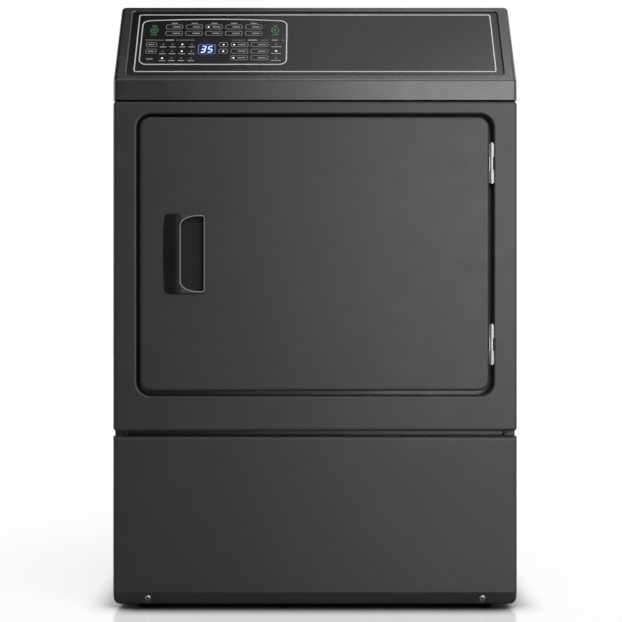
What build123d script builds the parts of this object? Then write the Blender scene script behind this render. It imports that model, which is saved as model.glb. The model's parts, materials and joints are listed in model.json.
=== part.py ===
from build123d import *
import os
from math import acos, atan2, cos, hypot, pi, radians, sin, tan

# Front-control clothes dryer. Millimetres, +Z up, the front faces -Y.
# Depths (y) are measured back from the flat front plane while the pieces are modelled.
# The finished pieces are moved so that the origin is on the floor, under the middle of the whole box.

# Cabinet
WIDTH = 683.0  # over the side panels
HEIGHT = 1040.0  # floor to the flat worktop
CABINET_DEPTH = 674.0  # front plane to the rear panel's outer face
SHEET = 1.2  # painted steel sheet
PAN_DEPTH = 26.0  # how far the front pans reach back
PAN_EDGE = 6.0  # rounding along the rim of the front pans
PAN_CORNER_EASE = 0.5  # how much larger the pans' corners are than their rims' rounding
FLANGE = 15.0  # inward flanges of the side panels
SIDE_EDGE = 2.5  # rounding of the side panels' folded edges
PAST = 5.0  # how far a cutting form runs past the wall that it cuts

# Floor to top, along the front
TOE_CLEARANCE = 6.0  # floor to the lower panel
TOE_RISE = 22.0  # height of the bent-back toe
TOE_SETBACK = 9.0  # how far the toe runs back
TOE_CORNER = 12.0  # lower corners of the lower panel
LOWER_PANEL_TOP = 291.2
PANEL_GAP = 8.6  # dark gap between the lower and the upper front panel
HOOD_HEIGHT = 180.0  # lower edge of the hood to the worktop
HOOD_SEAM = 1.6  # gap between the hood and the upper front panel
TOE_SCREW_X = 283.0  # each side of the middle
TOE_SCREW_RADIUS = 5.5
TOE_SCREW_HEAD = 2.2
TOE_SCREW_DOME = 1.3  # rounding of the head
TOE_SCREW_SHANK = 2.0
TOE_SCREW_HOLE = 2.4
TOE_SCREW_LENGTH = 10.0
TOE_DISH = 9.5  # radius of the pressed dish round each screw
TOE_DISH_DEPTH = 1.0
TOE_DISH_FLOOR = 6.0  # radius of the dish's level floor

# Control hood
HOOD_FACE = 33.4  # height of the upright strip under the slope
SLOPE_ANGLE = 54.3  # slope of the control face, from horizontal
HOOD_DEPTH = 118.0  # front plane to the joint with the worktop
HOOD_WALL = 2.5
HOOD_EDGE = 8.0  # rounding along the ends of the hood
RIDGE_RADIUS = 10.0
BEVEL_RADIUS = 8.0  # between the upright strip and the slope
RECESS_SIDE = 21.5  # rail left beside the recess
RECESS_LOW = 12.7  # slope left below the recess
RECESS_HIGH = 10.0  # slope left above the recess
RECESS_DEPTH = 4.5
RECESS_CORNER = 5.0
RECESS_ROLL = 2.5  # rounding along the recess's rim
OVERLAY = 1.5  # thickness of the printed control overlay
OVERLAY_GAP = 0.3
BOARD_GAP = 12.0  # recess floor to the control board
BOARD = 1.6
BOARD_WIDTH = 220.0
BOARD_HEIGHT = 90.0
POST_RADIUS = 3.0
POST_INSET = 9.0  # ends of the board to its posts
POST_ROW = 30.0  # posts above and below the middle of the board
TRANSFORMER = 34.0  # square base
TRANSFORMER_HEIGHT = 20.0
TRANSFORMER_X = -66.0  # from the middle of the board
RELAY = 18.0  # square base
RELAY_HEIGHT = 11.0
RELAY_X = 11.0  # first relay, from the middle of the board
RELAY_PITCH = 44.0

# Key cluster: x from its left edge, v up the slope from the slope's lower edge
CLUSTER_INSET = 18.0  # recess edge to the cluster
KEY_RISE = 0.4  # how far the membrane keys are embossed
KEY_WIDTH = 29.4
KEY_HEIGHT = 11.2
KEY_CORNER = 3.0
KEY_PITCH = 34.6
KEY_ROW_PITCH = 16.2
KEY_COLUMNS = 5
KEY_ROWS = 2
OPTION_COLUMNS = 2
OPTION_ROWS = 3
SIDE_KEY_ROWS = 2  # rows of the adjusting and of the level keys
KEY_X = 56.8
KEY_V = 129.5
OPTION_X = 172.0
OPTION_V = 86.3
ADJUST_X = 144.1
ADJUST_WIDTH = 15.3
LEVEL_X = 19.6
LEVEL_WIDTH = 18.8
ROUND_KEY = 7.0
ROUND_KEY_V = 122.0
POWER_X = 22.0
START_X = 233.0
DISPLAY_FROM_LEFT = 115.5
DISPLAY_V = 77.6
DISPLAY_WIDTH = 31.0
DISPLAY_HEIGHT = 25.0

# Worktop
TOP_SKIRT = 14.0  # depth of the worktop's turned-down rim
TOP_EDGE = 8.0

# Door and its opening
OPENING_SIDE = 39.5  # front panel left beside the opening
OPENING_BELOW = 59.8  # front panel left under the opening
OPENING_ABOVE = 21.8  # front panel left over the opening
OPENING_CORNER = 24.0
OPENING_ROLL = 3.0  # rounding of the opening's rim
OPENING_FLANGE = 36.0  # how far the opening's rim is turned back
DOOR_GAP_LATCH = 5.4
DOOR_GAP_HINGE = 7.4
DOOR_GAP_TOP = 4.9
DOOR_GAP_BOTTOM = 8.4
DOOR_DEPTH = 28.0
DOOR_CORNER = 18.5
DOOR_EDGE = 5.0
LINER = 2.0  # moulded door liner
LINER_DISH = 5.0  # how far the middle of the liner stands towards the drum
LINER_INSET = 1.0
DISH_INSET = 14.0  # throat rim to the dish of the liner
GASKET_WIDTH = 14.0
GASKET_INSET = 10.0  # gasket outside the rim of the loading throat
GASKET_GAP = 0.5  # gasket to bulkhead with the door shut

# Door handle
HANDLE_WIDTH = 72.6
HANDLE_HEIGHT = 135.0
HANDLE_INSET = 40.1  # from the latch edge of the door
HANDLE_CORNER = 8.0
HANDLE_BOW = 3.0  # outward bow of the grip's edge
HANDLE_RIM = 2.0  # rim standing on the door skin
GRIP_PROUD = 8.0  # grip standing out of the door skin
GRIP_WIDTH = 29.0
GRIP_FLAT = 8.0  # level crest beside the pocket, and how far it runs on past the mouth
GRIP_EDGE = 2.0
GRIP_CREST = 20.0  # rounding at both sides of the crest
GRIP_ROUND = 1.2  # rounding of the handle's outer edge
POCKET_MARGIN = 3.0  # rim beside the pocket
POCKET_CORNER = 4.0
POCKET_EASE_WIDE = 31.0  # long corners of the pocket beside the grip
POCKET_EASE_TALL = 17.0
POCKET_DEPTH = 22.0
POCKET_UNDERCUT = 12.0  # finger room behind the grip
HANDLE_WALL = 2.0
HANDLE_HOLE = 1.5  # cup inside the rim
MOUTH_ROUND = 1.0  # rounding along the pocket's mouth
CUP_FIT = 0.2  # cup to door skin

# Hinges
HINGE_HEIGHT = 66.0
HINGE_END = 45.85  # end of the door to the end of the hinge
HINGE_LEAF = 1.2
HINGE_LEAF_DEPTH = 24.0
BARREL_RADIUS = 3.0
PIN_RADIUS = 1.5
PIN_FIT = 0.05
PIN_HEAD = 1.5
KNUCKLE_GAP = 0.5
LEAF_SETBACK = 4.0  # leaf plates stay clear of the other leaf's knuckles

# Front bulkhead: a box with the loading throat, and the collar that carries the drum
BULKHEAD = 1.5
BULKHEAD_FRONT = 39.0
BULKHEAD_BOX = 33.0  # front face to rear face
BULKHEAD_SIDE = 15.0  # side panel to the rim of the bulkhead, which sits on the front panels' returns
LOAD_SIDE = 72.0  # door opening to the loading throat, left and right
LOAD_END = 53.5  # door opening to the loading throat, above and below
LOAD_CORNER = 80.0
COLLAR_LENGTH = 22.0
BULKHEAD_MARGIN = 4.0  # bulkhead below the top of the front panel
BULKHEAD_DROP = 20.0  # bulkhead below the top of the lower panel
BULKHEAD_LIP = 12.0  # ring plate outside the collar
VENT_ROWS = 6
VENT_PITCH = 11.0
VENT_LENGTH = 240.0
VENT_SLOT = 5.0
VENT_DROP = 26.0  # sill to the upper edge of the vents
VENT_MARGIN = 21.0  # lower edge of the vents to the collar
BAR_HEIGHT = 5.0
BAR_LENGTH = 120.0
BAR_PITCH = 10.0
BAR_CORNER = 2.2
CATCH_INSET = 28.0  # latch edge of the door to the strike
CATCH_MOUTH = 16.0
CATCH_TALL = 25.6  # height of the mouth
CATCH_WALL = 6.0
CATCH_EAR = 9.0  # catch housing above and below the mouth
CATCH_CORNER = 4.0
CATCH_ROOM = 3.0  # behind the tip of the strike
STRIKE_REACH = 15.0
STRIKE_MARGIN = 3.0  # strike plate beside the catch's mouth
STRIKE_TALL = 38.4
STRIKE_CORNER = 3.0
PRONG = 1.5  # half the prong's thickness
PRONG_TALL = 7.2  # half the prong's height
BARB = 1.5  # how far the barb stands out
BARB_START = 8.0  # back from the tip
BARB_CREST = 6.0
BARB_TIP = 0.8
SWITCH_INSET = 26.0  # hinge edge of the door to the switch
SWITCH_RISE = 60.0  # above the middle of the door
SWITCH_SIZE = 20.0
SWITCH_TALL = 30.0
SWITCH_CORNER = 3.0
SWITCH_DEPTH = 22.0
SWITCH_FLOOR = 2.0
PLUNGER_PLAY = 2.0  # plunger to the bottom of its bore
PLUNGER_ROUND = 2.0
PLUNGER = 4.0
PLUNGER_CLEARANCE = 0.6

# Drum
DRUM_SIDE_GAP = 22.0  # drum shell to side panel
DRUM_WALL = 1.0
DRUM_LIP = 12.0  # inward lip at each end
LIP_ROLL = 18.0  # how far the lip is rolled towards the middle
DRUM_END_GAP = 4.0  # drum lip to bulkhead
SEAL_GAP = 0.5  # felt to drum
COLLAR_GAP = 7.0  # collar to drum lip, filled by the felt and the glides
COLLAR_WALL = 1.5
SEAL_WIDTH = 11.0
GLIDE_WIDTH = 90.0
BAFFLE_COUNT = 3
BAFFLE_HEIGHT = 85.0
BAFFLE_BASE = 92.0
BAFFLE_TIP = 17.0  # tip radius
BAFFLE_WALL = 2.5
BAFFLE_END_GAP = 40.0
REAR_SPACE = 60.0  # rear bulkhead to rear panel
GRILLE_RADIUS = 150.0
GRILLE_INNER = 36.0  # where the slots begin
GRILLE_SLOTS = 14
GRILLE_SLOT = 9.0
REAR_MARGIN = 12.0  # rear bulkhead above and below the drum
HEATER_MARGIN = 14.0
HEATER_GAP = 8.0  # heater box to rear panel
HEATER_LOOP = 120.0  # radii of the two heating bands
HEATER_LOOP_INNER = 68.0
HEATER_ROD = 3.5  # half the section of a band
HEATER_STANDOFF = 20.0
HEATER_POST = 80.0  # posts of the bridge, each side of the middle
HEATER_NECK = 164.0  # width of the fresh air neck
THERMOSTAT = 9.0
THERMOSTAT_HEIGHT = 8.0
THERMOSTAT_CAP = 4.0  # height of the smaller cap
THERMOSTAT_CAP_RADIUS = 4.5
THERMOSTAT_PITCH = 22.0

# Rollers under the drum
ROLLER_RADIUS = 35.0
ROLLER_WIDTH = 20.0
ROLLER_ANGLE = 38.0  # each side of straight down
ROLLER_SHAFT = 5.0
ROLLER_TYRE = 9.0
ROLLER_HUB = 12.5
ROLLER_DISH = 5.0  # depth of the dish on each side
ROLLER_GAP = 0.4
ROLLER_STANDOFF = 16.0  # roller to rear bulkhead
SHAFT_SHOULDER = 10.0
SHAFT_HEAD = 8.0
SHAFT_HEAD_LENGTH = 3.6
SHAFT_FIT = 0.05

# Motor, belt and idler
MOTOR_SIDE = 128.0  # side panel to the motor axis
SCROLL_LIFT = 6.0  # rim of the base pan to the blower housing
MOTOR_GAP = 14.0  # blower housing to the motor, and half of that from motor to pulley
MOUNT_PLATE = 3.0
MOUNT_WIDTH = 99.2
MOUNT_INSET = 4.0  # saddle plates inside the ends of the can
MOTOR_RADIUS = 62.0
MOTOR_LENGTH = 150.0
MOTOR_BELL = 30.0  # length of the end bells
MOTOR_BELL_RADIUS = 52.7
MOTOR_BOSS = 4.0  # how far the bearing bosses stand out of the bells
MOTOR_BOSS_RADIUS = 18.0
MOTOR_SHAFT = 6.0
PULLEY_RADIUS = 13.0
PULLEY_WIDTH = 16.0
PULLEY_FLANGE = 1.5
PULLEY_RISE = 6.0  # flanges above the pulley's face
BELT_WIDTH = 9.0
BELT_THICKNESS = 3.0
BELT_GAP = 0.4
IDLER_RADIUS = 22.0
IDLER_WIDTH = 14.0
IDLER_ALONG = 105.0  # from the motor axis, along the slack side
IDLER_PUSH = 12.0  # how far the idler presses the belt in
IDLER_PIN = 4.0
IDLER_SHOULDER = 6.0
IDLER_RISE = 3.0  # flanges above the idler's face
PIN_PROUD = 2.0  # idler pin in front of the idler
ARM_REACH = 62.0  # pivot to idler, sideways
ARM_DROP = 10.0  # pivot below the idler
ARM_HUB = 12.0
ARM_HUB_LENGTH = 9.0
ARM_EYE = 8.8  # round end of the arm at the idler
ARM_PIN = 5.0
ARM_PLATE = 3.0
ARM_GAP = 3.0
POST_FOOT = 48.0
POST_WIDTH = 36.0

# Blower, ducts and lint filter
BLOWER_RADIUS = 88.0
BLOWER_DEPTH = 56.0
BLOWER_BLADES = 20
BLOWER_GAP = 10.0  # wheel to scroll at its narrowest
SCROLL_GROWTH = 16.0  # how far the scroll opens over its turn
SCROLL_LEG = 22.0  # straight outlet of the scroll
INLET_RADIUS = 64.0
FUNNEL_MARGIN = 16.0
BLADE = 2.0
BLADE_CHORD = 20.0
BLADE_CAMBER = 4.0
WHEEL_HUB = 18.0
WHEEL_HUB_LENGTH = 28.0
WHEEL_PLAY = 5.0  # wheel to the rear wall of the housing
HOUSING_HOLE = 12.0  # round the shaft
SCROLL_SPANS = 3  # arcs of a quarter turn that make up the scroll
DUCT_WALL = 1.6
BOOT_RUN = 118.0  # outlet of the scroll to the axis of the pipe
PIPE_RADIUS = 50.8  # four-inch exhaust pipe, outside
PIPE_WALL = 0.9
PIPE_STEP = 2.4  # how much wider the duct is inside the cabinet
PIPE_CLEARANCE = 1.0
EXHAUST_PROUD = 29.0
FILTER_WIDTH = 280.0
FILTER_HEIGHT = 150.0
FILTER_THICKNESS = 14.0
FILTER_BAR = 9.0
FILTER_GAP = 1.5
FILTER_MESH = 1.0
FILTER_STOP = 12.0  # ledges that the filter stands on
GRIP_BAR = 110.0
GRIP_BAR_RISE = 14.0
GRIP_BAR_CORNER = 7.0
GRIP_BAR_THICKNESS = 7.0

# Base, feet and rear fittings
BASE_Z = 14.0  # underside of the base pan
BASE_RIM = 24.0
FOOT_INSET = 48.0
FOOT_RADIUS = 19.0
FOOT_TAPER = 3.8  # how much narrower the pad is at its top
FOOT_PAD = 9.0
FOOT_STEM = 5.0
FOOT_STEM_TOP = 46.0
FOOT_FIT = 0.05
NUT_RADIUS = 11.0
NUT_HEIGHT = 8.0
LOUVRE_COUNT = 9
LOUVRE_LENGTH = 90.0
LOUVRE_APART = 45.0  # between the two columns
LOUVRE_PITCH = 15.0
LOUVRE_SLOT = 5.0
LOUVRE_TOP = 150.0  # worktop to the middle of the louvres
TERMINAL_SIDE = 130.0  # side panel to the terminals
TERMINAL_Z = 232.0
TERMINAL_WIDTH = 84.0
TERMINAL_HEIGHT = 104.0
TERMINAL_BLOCK = 36.0
TERMINAL_EAR = 10.0
TERMINAL_PLATE = 5.0
TERMINAL_DEPTH = 20.0
TERMINAL_STUD = 4.0
TERMINAL_PITCH = 21.0
COVER_RISE = 12.0
COVER_LAP = 5.0  # cover outside its cut-out
COVER_CORNER = 4.0
CORD_HOLE = 14.3
VALVE_SIDE = 110.0  # side panel to the water valve
VALVE_Z = 200.0
VALVE_NECK = 13.3
VALVE_DEPTH = 40.0
VALVE_STUB = 18.0
VALVE_STEP = 2.4  # how much wider the body is than the hose stub
VALVE_FLANGE = 21.3
VALVE_FLANGE_THICKNESS = 3.6
VALVE_BORE = 8.0
VALVE_BORE_DEPTH = 36.0
COIL_RADIUS = 12.0
COIL_HEIGHT = 40.0
COIL_SETBACK = 28.0

# Places that follow from the sizes above
HALF = WIDTH / 2
INNER_HALF = HALF - SHEET
PAN_CORNER = PAN_EDGE + PAN_CORNER_EASE
FRONT_Y = -(CABINET_DEPTH + EXHAUST_PROUD - GRIP_PROUD) / 2
HOOD_BOTTOM = HEIGHT - HOOD_HEIGHT
FACE_TOP = HOOD_BOTTOM + HOOD_FACE
FRONT_TOP = HOOD_BOTTOM - HOOD_SEAM
FRONT_BOTTOM = LOWER_PANEL_TOP + PANEL_GAP
FRONT_HEIGHT = FRONT_TOP - FRONT_BOTTOM
FRONT_Z = (FRONT_TOP + FRONT_BOTTOM) / 2
SIDE_FRONT = PAN_DEPTH
TOP_SEAT = HEIGHT - TOP_SKIRT
REAR_INSIDE = CABINET_DEPTH - SHEET

OPENING_WIDTH = WIDTH - 2 * OPENING_SIDE
OPENING_BOTTOM = FRONT_BOTTOM + OPENING_BELOW
OPENING_TOP = FRONT_TOP - OPENING_ABOVE
OPENING_HEIGHT = OPENING_TOP - OPENING_BOTTOM
OPENING_Z = (OPENING_TOP + OPENING_BOTTOM) / 2
LOAD_WIDTH = OPENING_WIDTH - 2 * LOAD_SIDE
DOOR_LEFT = -OPENING_WIDTH / 2 + DOOR_GAP_LATCH
DOOR_RIGHT = OPENING_WIDTH / 2 - DOOR_GAP_HINGE
DOOR_BOTTOM = OPENING_BOTTOM + DOOR_GAP_BOTTOM
DOOR_TOP = OPENING_TOP - DOOR_GAP_TOP
DOOR_WIDTH = DOOR_RIGHT - DOOR_LEFT
DOOR_HEIGHT = DOOR_TOP - DOOR_BOTTOM
DOOR_X = (DOOR_LEFT + DOOR_RIGHT) / 2
DOOR_Z = (DOOR_TOP + DOOR_BOTTOM) / 2
HINGE_X = (DOOR_RIGHT + OPENING_WIDTH / 2) / 2
HINGE_OFFSET = DOOR_HEIGHT / 2 - HINGE_END - HINGE_HEIGHT / 2
HANDLE_X = DOOR_LEFT + HANDLE_INSET + HANDLE_WIDTH / 2
CATCH_X = DOOR_LEFT + CATCH_INSET
SWITCH_X = DOOR_RIGHT - SWITCH_INSET
SWITCH_Z = DOOR_Z + SWITCH_RISE

SLOPE_LENGTH = (HEIGHT - FACE_TOP) / sin(radians(SLOPE_ANGLE))
RIDGE_Y = (HEIGHT - FACE_TOP) / tan(radians(SLOPE_ANGLE))
SLOPE = Plane((0, 0, FACE_TOP), x_dir=(1, 0, 0),
              z_dir=(0, -sin(radians(SLOPE_ANGLE)), cos(radians(SLOPE_ANGLE))))
RECESS_WIDTH = WIDTH - 2 * RECESS_SIDE
RECESS_HEIGHT = SLOPE_LENGTH - RECESS_LOW - RECESS_HIGH
RECESS_V = RECESS_LOW + RECESS_HEIGHT / 2
CLUSTER_X = -RECESS_WIDTH / 2 + CLUSTER_INSET
DISPLAY_X = CLUSTER_X + DISPLAY_FROM_LEFT
BOARD_X = CLUSTER_X + BOARD_WIDTH / 2
BOARD_V = RECESS_V

DRUM_Z = DOOR_Z
BULKHEAD_REAR = BULKHEAD_FRONT + BULKHEAD_BOX
COLLAR_PLATE = BULKHEAD_REAR - BULKHEAD
DRUM_OUTER = INNER_HALF - DRUM_SIDE_GAP
DRUM_INNER = DRUM_OUTER - DRUM_WALL
LIP_RADIUS = DRUM_INNER - DRUM_LIP
COLLAR_RADIUS = LIP_RADIUS - COLLAR_GAP
VENT_BAND = VENT_DROP + VENT_ROWS * VENT_PITCH + VENT_MARGIN  # sill to the collar
LOAD_HEIGHT = min(OPENING_HEIGHT - 2 * LOAD_END, 2 * (COLLAR_RADIUS - VENT_BAND))
REAR_WALL = CABINET_DEPTH - REAR_SPACE
DRUM_FRONT = BULKHEAD_REAR + DRUM_END_GAP
DRUM_REAR = REAR_WALL - DRUM_END_GAP
SILL_Z = DRUM_Z - LOAD_HEIGHT / 2
VENT_Z = SILL_Z - VENT_DROP - VENT_ROWS * VENT_PITCH / 2

BASE_FLOOR = BASE_Z + 2 * SHEET
MOTOR_X = INNER_HALF - MOTOR_SIDE
SCROLL_RADIUS = BLOWER_RADIUS + BLOWER_GAP + SCROLL_GROWTH
MOTOR_Z = BASE_Z + SHEET + BASE_RIM + SCROLL_LIFT + SCROLL_RADIUS
HOUSING_FRONT = COLLAR_PLATE
HOUSING_REAR = HOUSING_FRONT + BLOWER_DEPTH + 2 * DUCT_WALL + 2 * WHEEL_PLAY
WHEEL_REAR = HOUSING_REAR - DUCT_WALL - WHEEL_PLAY
OUTLET_X = MOTOR_X - SCROLL_RADIUS + SCROLL_GROWTH - SCROLL_LEG
PIPE_X = OUTLET_X - BOOT_RUN
DUCT_RADIUS = PIPE_RADIUS + PIPE_STEP
PIPE_Z = MOTOR_Z - SCROLL_RADIUS + DUCT_RADIUS
MOTOR_FRONT = HOUSING_REAR + MOTOR_GAP
MOTOR_REAR = MOTOR_FRONT + MOTOR_LENGTH
CAN_FRONT, CAN_REAR = MOTOR_FRONT + MOTOR_BELL, MOTOR_REAR - MOTOR_BELL
BELT_Y = MOTOR_REAR + (MOTOR_GAP + PULLEY_WIDTH) / 2
ARM_Y = BELT_Y + PULLEY_WIDTH / 2 + ARM_GAP
FILTER_Y = (BULKHEAD_FRONT + BULKHEAD_REAR) / 2
FILTER_Z = SILL_Z - BULKHEAD - FILTER_HEIGHT / 2
FILTER_WINDOW_WIDTH = (FILTER_WIDTH - 3 * FILTER_BAR) / 2
FILTER_WINDOW_HEIGHT = FILTER_HEIGHT - 2 * FILTER_BAR
FILTER_WINDOW_X = (FILTER_WINDOW_WIDTH + FILTER_BAR) / 2

LOUVRE_Z = HEIGHT - LOUVRE_TOP
TERMINAL_X = INNER_HALF - TERMINAL_SIDE
TERMINAL_BLOCK_Z = TERMINAL_Z + TERMINAL_HEIGHT / 2 - TERMINAL_BLOCK / 2 - TERMINAL_EAR
CORD_Z = TERMINAL_Z - TERMINAL_HEIGHT / 2 + CORD_HOLE + TERMINAL_EAR
VALVE_X = VALVE_SIDE - INNER_HALF


def stand(sketch, x, y, z):
    """Stand a flat sketch upright at depth y, facing the front."""
    return Plane((x, y, z), x_dir=(1, 0, 0), z_dir=(0, -1, 0)) * sketch


def slab(sketch, x, z, y0, y1):
    """Solid of an upright sketch, from depth y0 back to depth y1."""
    return extrude(stand(sketch, x, y0, z), amount=y1 - y0, dir=(0, 1, 0))


def tube(outer, inner, x, z, y0, y1):
    """Round tube that runs front to back."""
    return slab(Circle(outer) - Circle(inner), x, z, y0, y1)


def block(x0, x1, y0, y1, z0, z1):
    """Box between two corners."""
    return Pos((x0 + x1) / 2, (y0 + y1) / 2, (z0 + z1) / 2) * Box(x1 - x0, y1 - y0, z1 - z0)


def across(profile, half):
    """Solid of a front-to-back profile (depth, height), reaching the same distance left and right."""
    return extrude(Plane((-half, 0, 0), x_dir=(0, 1, 0), z_dir=(1, 0, 0)) * profile, amount=2 * half,
                   dir=(1, 0, 0))


def round_rim(solid, radius):
    """Round the outer edges of the face nearest the front."""
    face = solid.faces().sort_by(Axis.Y)[0]
    return solid.fillet(radius, face.outer_wire().edges())


def round_hole(solid, radius):
    """Round the edges of the opening in the face nearest the front."""
    face = solid.faces().sort_by(Axis.Y)[0]
    return solid.fillet(radius, face.inner_wires()[0].edges())


def front_panel():
    """Upper front pan, with the rim of the door opening turned back into a deep flange."""

    def form(inset):
        outline = RectangleRounded(WIDTH - 2 * inset, FRONT_HEIGHT - 2 * inset, PAN_CORNER - inset)
        hole = RectangleRounded(OPENING_WIDTH + 2 * inset, OPENING_HEIGHT + 2 * inset,
                                OPENING_CORNER + inset)
        rear = PAN_DEPTH + inset
        body = slab(outline, 0, FRONT_Z, inset, rear) - slab(hole, 0, OPENING_Z, inset, rear)
        return round_hole(round_rim(body, PAN_EDGE - inset), OPENING_ROLL - inset)

    inside = RectangleRounded(OPENING_WIDTH, OPENING_HEIGHT, OPENING_CORNER)
    outside = RectangleRounded(OPENING_WIDTH + 2 * SHEET, OPENING_HEIGHT + 2 * SHEET,
                               OPENING_CORNER + SHEET)
    flange = slab(outside - inside, 0, OPENING_Z, OPENING_ROLL, OPENING_FLANGE)
    return form(0) - form(SHEET) + flange


def lower_front_panel():
    """Lower front pan, its bottom edge bent back to a toe."""

    def form(inset):
        rear = PAN_DEPTH + 2 * inset
        profile = make_face(Polyline(
            (0, LOWER_PANEL_TOP), (rear, LOWER_PANEL_TOP), (rear, TOE_CLEARANCE),
            (TOE_SETBACK, TOE_CLEARANCE), (0, TOE_CLEARANCE + TOE_RISE), close=True))
        if inset:
            profile = offset(profile, amount=-inset, kind=Kind.INTERSECTION)
        body = across(profile, HALF - inset)
        corners = body.faces().sort_by(Axis.Z)[0].edges().filter_by(Axis.Y)
        body = body.fillet(TOE_CORNER - inset, corners)
        front = body.faces().sort_by(Axis.Y)[0]
        toe = (body.faces() - [front]).filter_by(lambda face: face.normal_at().Y < -0.5)[0]
        sides = toe.edges().filter_by(lambda edge: abs(edge.center().X) > HALF / 2)
        return body.fillet(PAN_EDGE - inset, front.edges() + sides)

    def dish(sink):
        section = make_face(Polyline((0, -sink), (TOE_DISH_FLOOR, -sink), (TOE_DISH, TOE_DISH_DEPTH - sink),
                                     (TOE_DISH, TOE_DISH_DEPTH), (0, TOE_DISH_DEPTH), close=True))
        return revolve(Plane.XZ * section, Axis.Z)

    pan = form(0) - form(SHEET)
    for x in toe_screw_places():
        pan += toe_plane(x) * Pos(0, 0, -TOE_DISH_DEPTH) * dish(SHEET)
        pan -= toe_plane(x) * dish(TOE_DISH_DEPTH)
        pan -= toe_plane(x) * Cylinder(TOE_SCREW_HOLE, 2 * PAST)
    return pan


def toe_plane(x):
    """Plane on the middle of the toe, facing out of it."""
    return Plane((x, TOE_SETBACK / 2, TOE_CLEARANCE + TOE_RISE / 2), x_dir=(1, 0, 0),
                 z_dir=(0, -TOE_RISE, -TOE_SETBACK))


def toe_screw_places():
    """Sideways places of the two toe screws."""
    return (-TOE_SCREW_X, TOE_SCREW_X)


def lower_panel_screws():
    """Two domed screws through the toe of the lower panel."""
    screws = []
    for x in toe_screw_places():
        head = Pos(0, 0, TOE_SCREW_HEAD / 2) * Cylinder(TOE_SCREW_RADIUS, TOE_SCREW_HEAD)
        head = head.fillet(TOE_SCREW_DOME, head.faces().sort_by(Axis.Z)[-1].edges())
        shank = Pos(0, 0, -TOE_SCREW_LENGTH / 2) * Cylinder(TOE_SCREW_SHANK, TOE_SCREW_LENGTH)
        screws.append(toe_plane(x) * Pos(0, 0, -TOE_DISH_DEPTH) * (head + shank))
    return screws


def right_side_panel():
    """Right side panel, flanged inward all round and stepped down under the hood."""
    outline = make_face(Polyline(
        (SIDE_FRONT, BASE_Z), (REAR_INSIDE, BASE_Z), (REAR_INSIDE, TOP_SEAT), (HOOD_DEPTH, TOP_SEAT),
        (HOOD_DEPTH, HOOD_BOTTOM), (SIDE_FRONT, HOOD_BOTTOM), close=True))
    inside = Plane((HALF - FLANGE, 0, 0), x_dir=(0, 1, 0), z_dir=(1, 0, 0))

    def form(sketch, inset):
        body = extrude(inside * sketch, FLANGE - inset)
        return body.fillet(SIDE_EDGE - inset, body.faces().sort_by(Axis.X)[-1].edges())

    return form(outline, 0) - form(offset(outline, amount=-SHEET, kind=Kind.INTERSECTION), SHEET)


def left_side_panel():
    """Mirror image of the right side panel."""
    return mirror(right_side_panel(), about=Plane.YZ)


def base_pan():
    """Floor tray between the side panels, with a welded nut at each foot."""
    front, rear = SIDE_FRONT + SHEET, REAR_INSIDE - SHEET
    bottom = BASE_Z + SHEET
    tray = block(-INNER_HALF, INNER_HALF, front, rear, bottom, bottom + BASE_RIM)
    folds = tray.faces().filter_by(Axis.X).edges().filter_by(lambda edge: (edge @ 0.5).Z < bottom + BASE_RIM)
    tray = tray.fillet(SIDE_EDGE, folds)
    tray -= block(-INNER_HALF + SHEET, INNER_HALF - SHEET, front + SHEET, rear - SHEET, BASE_FLOOR,
                  bottom + BASE_RIM + PAST)
    for x, y in foot_places():
        tray += Pos(x, y, BASE_FLOOR) * extrude(RegularPolygon(NUT_RADIUS, 6), NUT_HEIGHT)
        tray -= Pos(x, y, BASE_FLOOR) * Cylinder(FOOT_STEM + FOOT_FIT, 2 * (NUT_HEIGHT + PAST))
    return tray


def foot_places():
    """Corners where the four feet stand, as (x, depth)."""
    across_x = INNER_HALF - FOOT_INSET
    return [(x, y) for y in (SIDE_FRONT + FOOT_INSET, REAR_INSIDE - FOOT_INSET)
            for x in (-across_x, across_x)]


def levelling_foot(x, y):
    """Rubber-shod foot on a threaded stem."""
    pad = Pos(x, y, FOOT_PAD / 2) * Cone(FOOT_RADIUS, FOOT_RADIUS - FOOT_TAPER, FOOT_PAD)
    stem = Pos(x, y, (FOOT_PAD + FOOT_STEM_TOP) / 2) * Cylinder(FOOT_STEM, FOOT_STEM_TOP - FOOT_PAD)
    return pad + stem


def rear_panel():
    """Rear panel with louvre slots, and holes for the exhaust, the terminals and the water inlet."""
    sheet = Pos(0, (TOP_SEAT + BASE_Z) / 2) * Rectangle(2 * INNER_HALF, TOP_SEAT - BASE_Z)
    column = (LOUVRE_LENGTH + LOUVRE_APART) / 2
    for row in range(LOUVRE_COUNT):
        z = LOUVRE_Z + (row - (LOUVRE_COUNT - 1) / 2) * LOUVRE_PITCH
        sheet -= [Pos(x, z) * SlotOverall(LOUVRE_LENGTH, LOUVRE_SLOT) for x in (-column, column)]
    sheet -= Pos(PIPE_X, PIPE_Z) * Circle(DUCT_RADIUS + PIPE_CLEARANCE)
    sheet -= Pos(VALVE_X, VALVE_Z) * Circle(VALVE_NECK + VALVE_STEP + PIPE_CLEARANCE)
    sheet -= Pos(TERMINAL_X, TERMINAL_Z) * Rectangle(TERMINAL_WIDTH, TERMINAL_HEIGHT)
    return slab(sheet, 0, 0, REAR_INSIDE, CABINET_DEPTH)


def top_panel():
    """Worktop: a shallow pan turned over the cabinet, seated on the side panels and the hood's ledge."""

    def form(inset):
        front, rear = HOOD_DEPTH, CABINET_DEPTH - inset
        body = block(-HALF + inset, HALF - inset, front - inset, rear, TOP_SEAT - inset, HEIGHT - inset)
        top = body.faces().sort_by(Axis.Z)[-1]
        rim = top.edges().sort_by(Axis.Y)[1:]
        return body.fillet(TOP_EDGE - inset, rim)

    return form(0) - form(SHEET)


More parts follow.
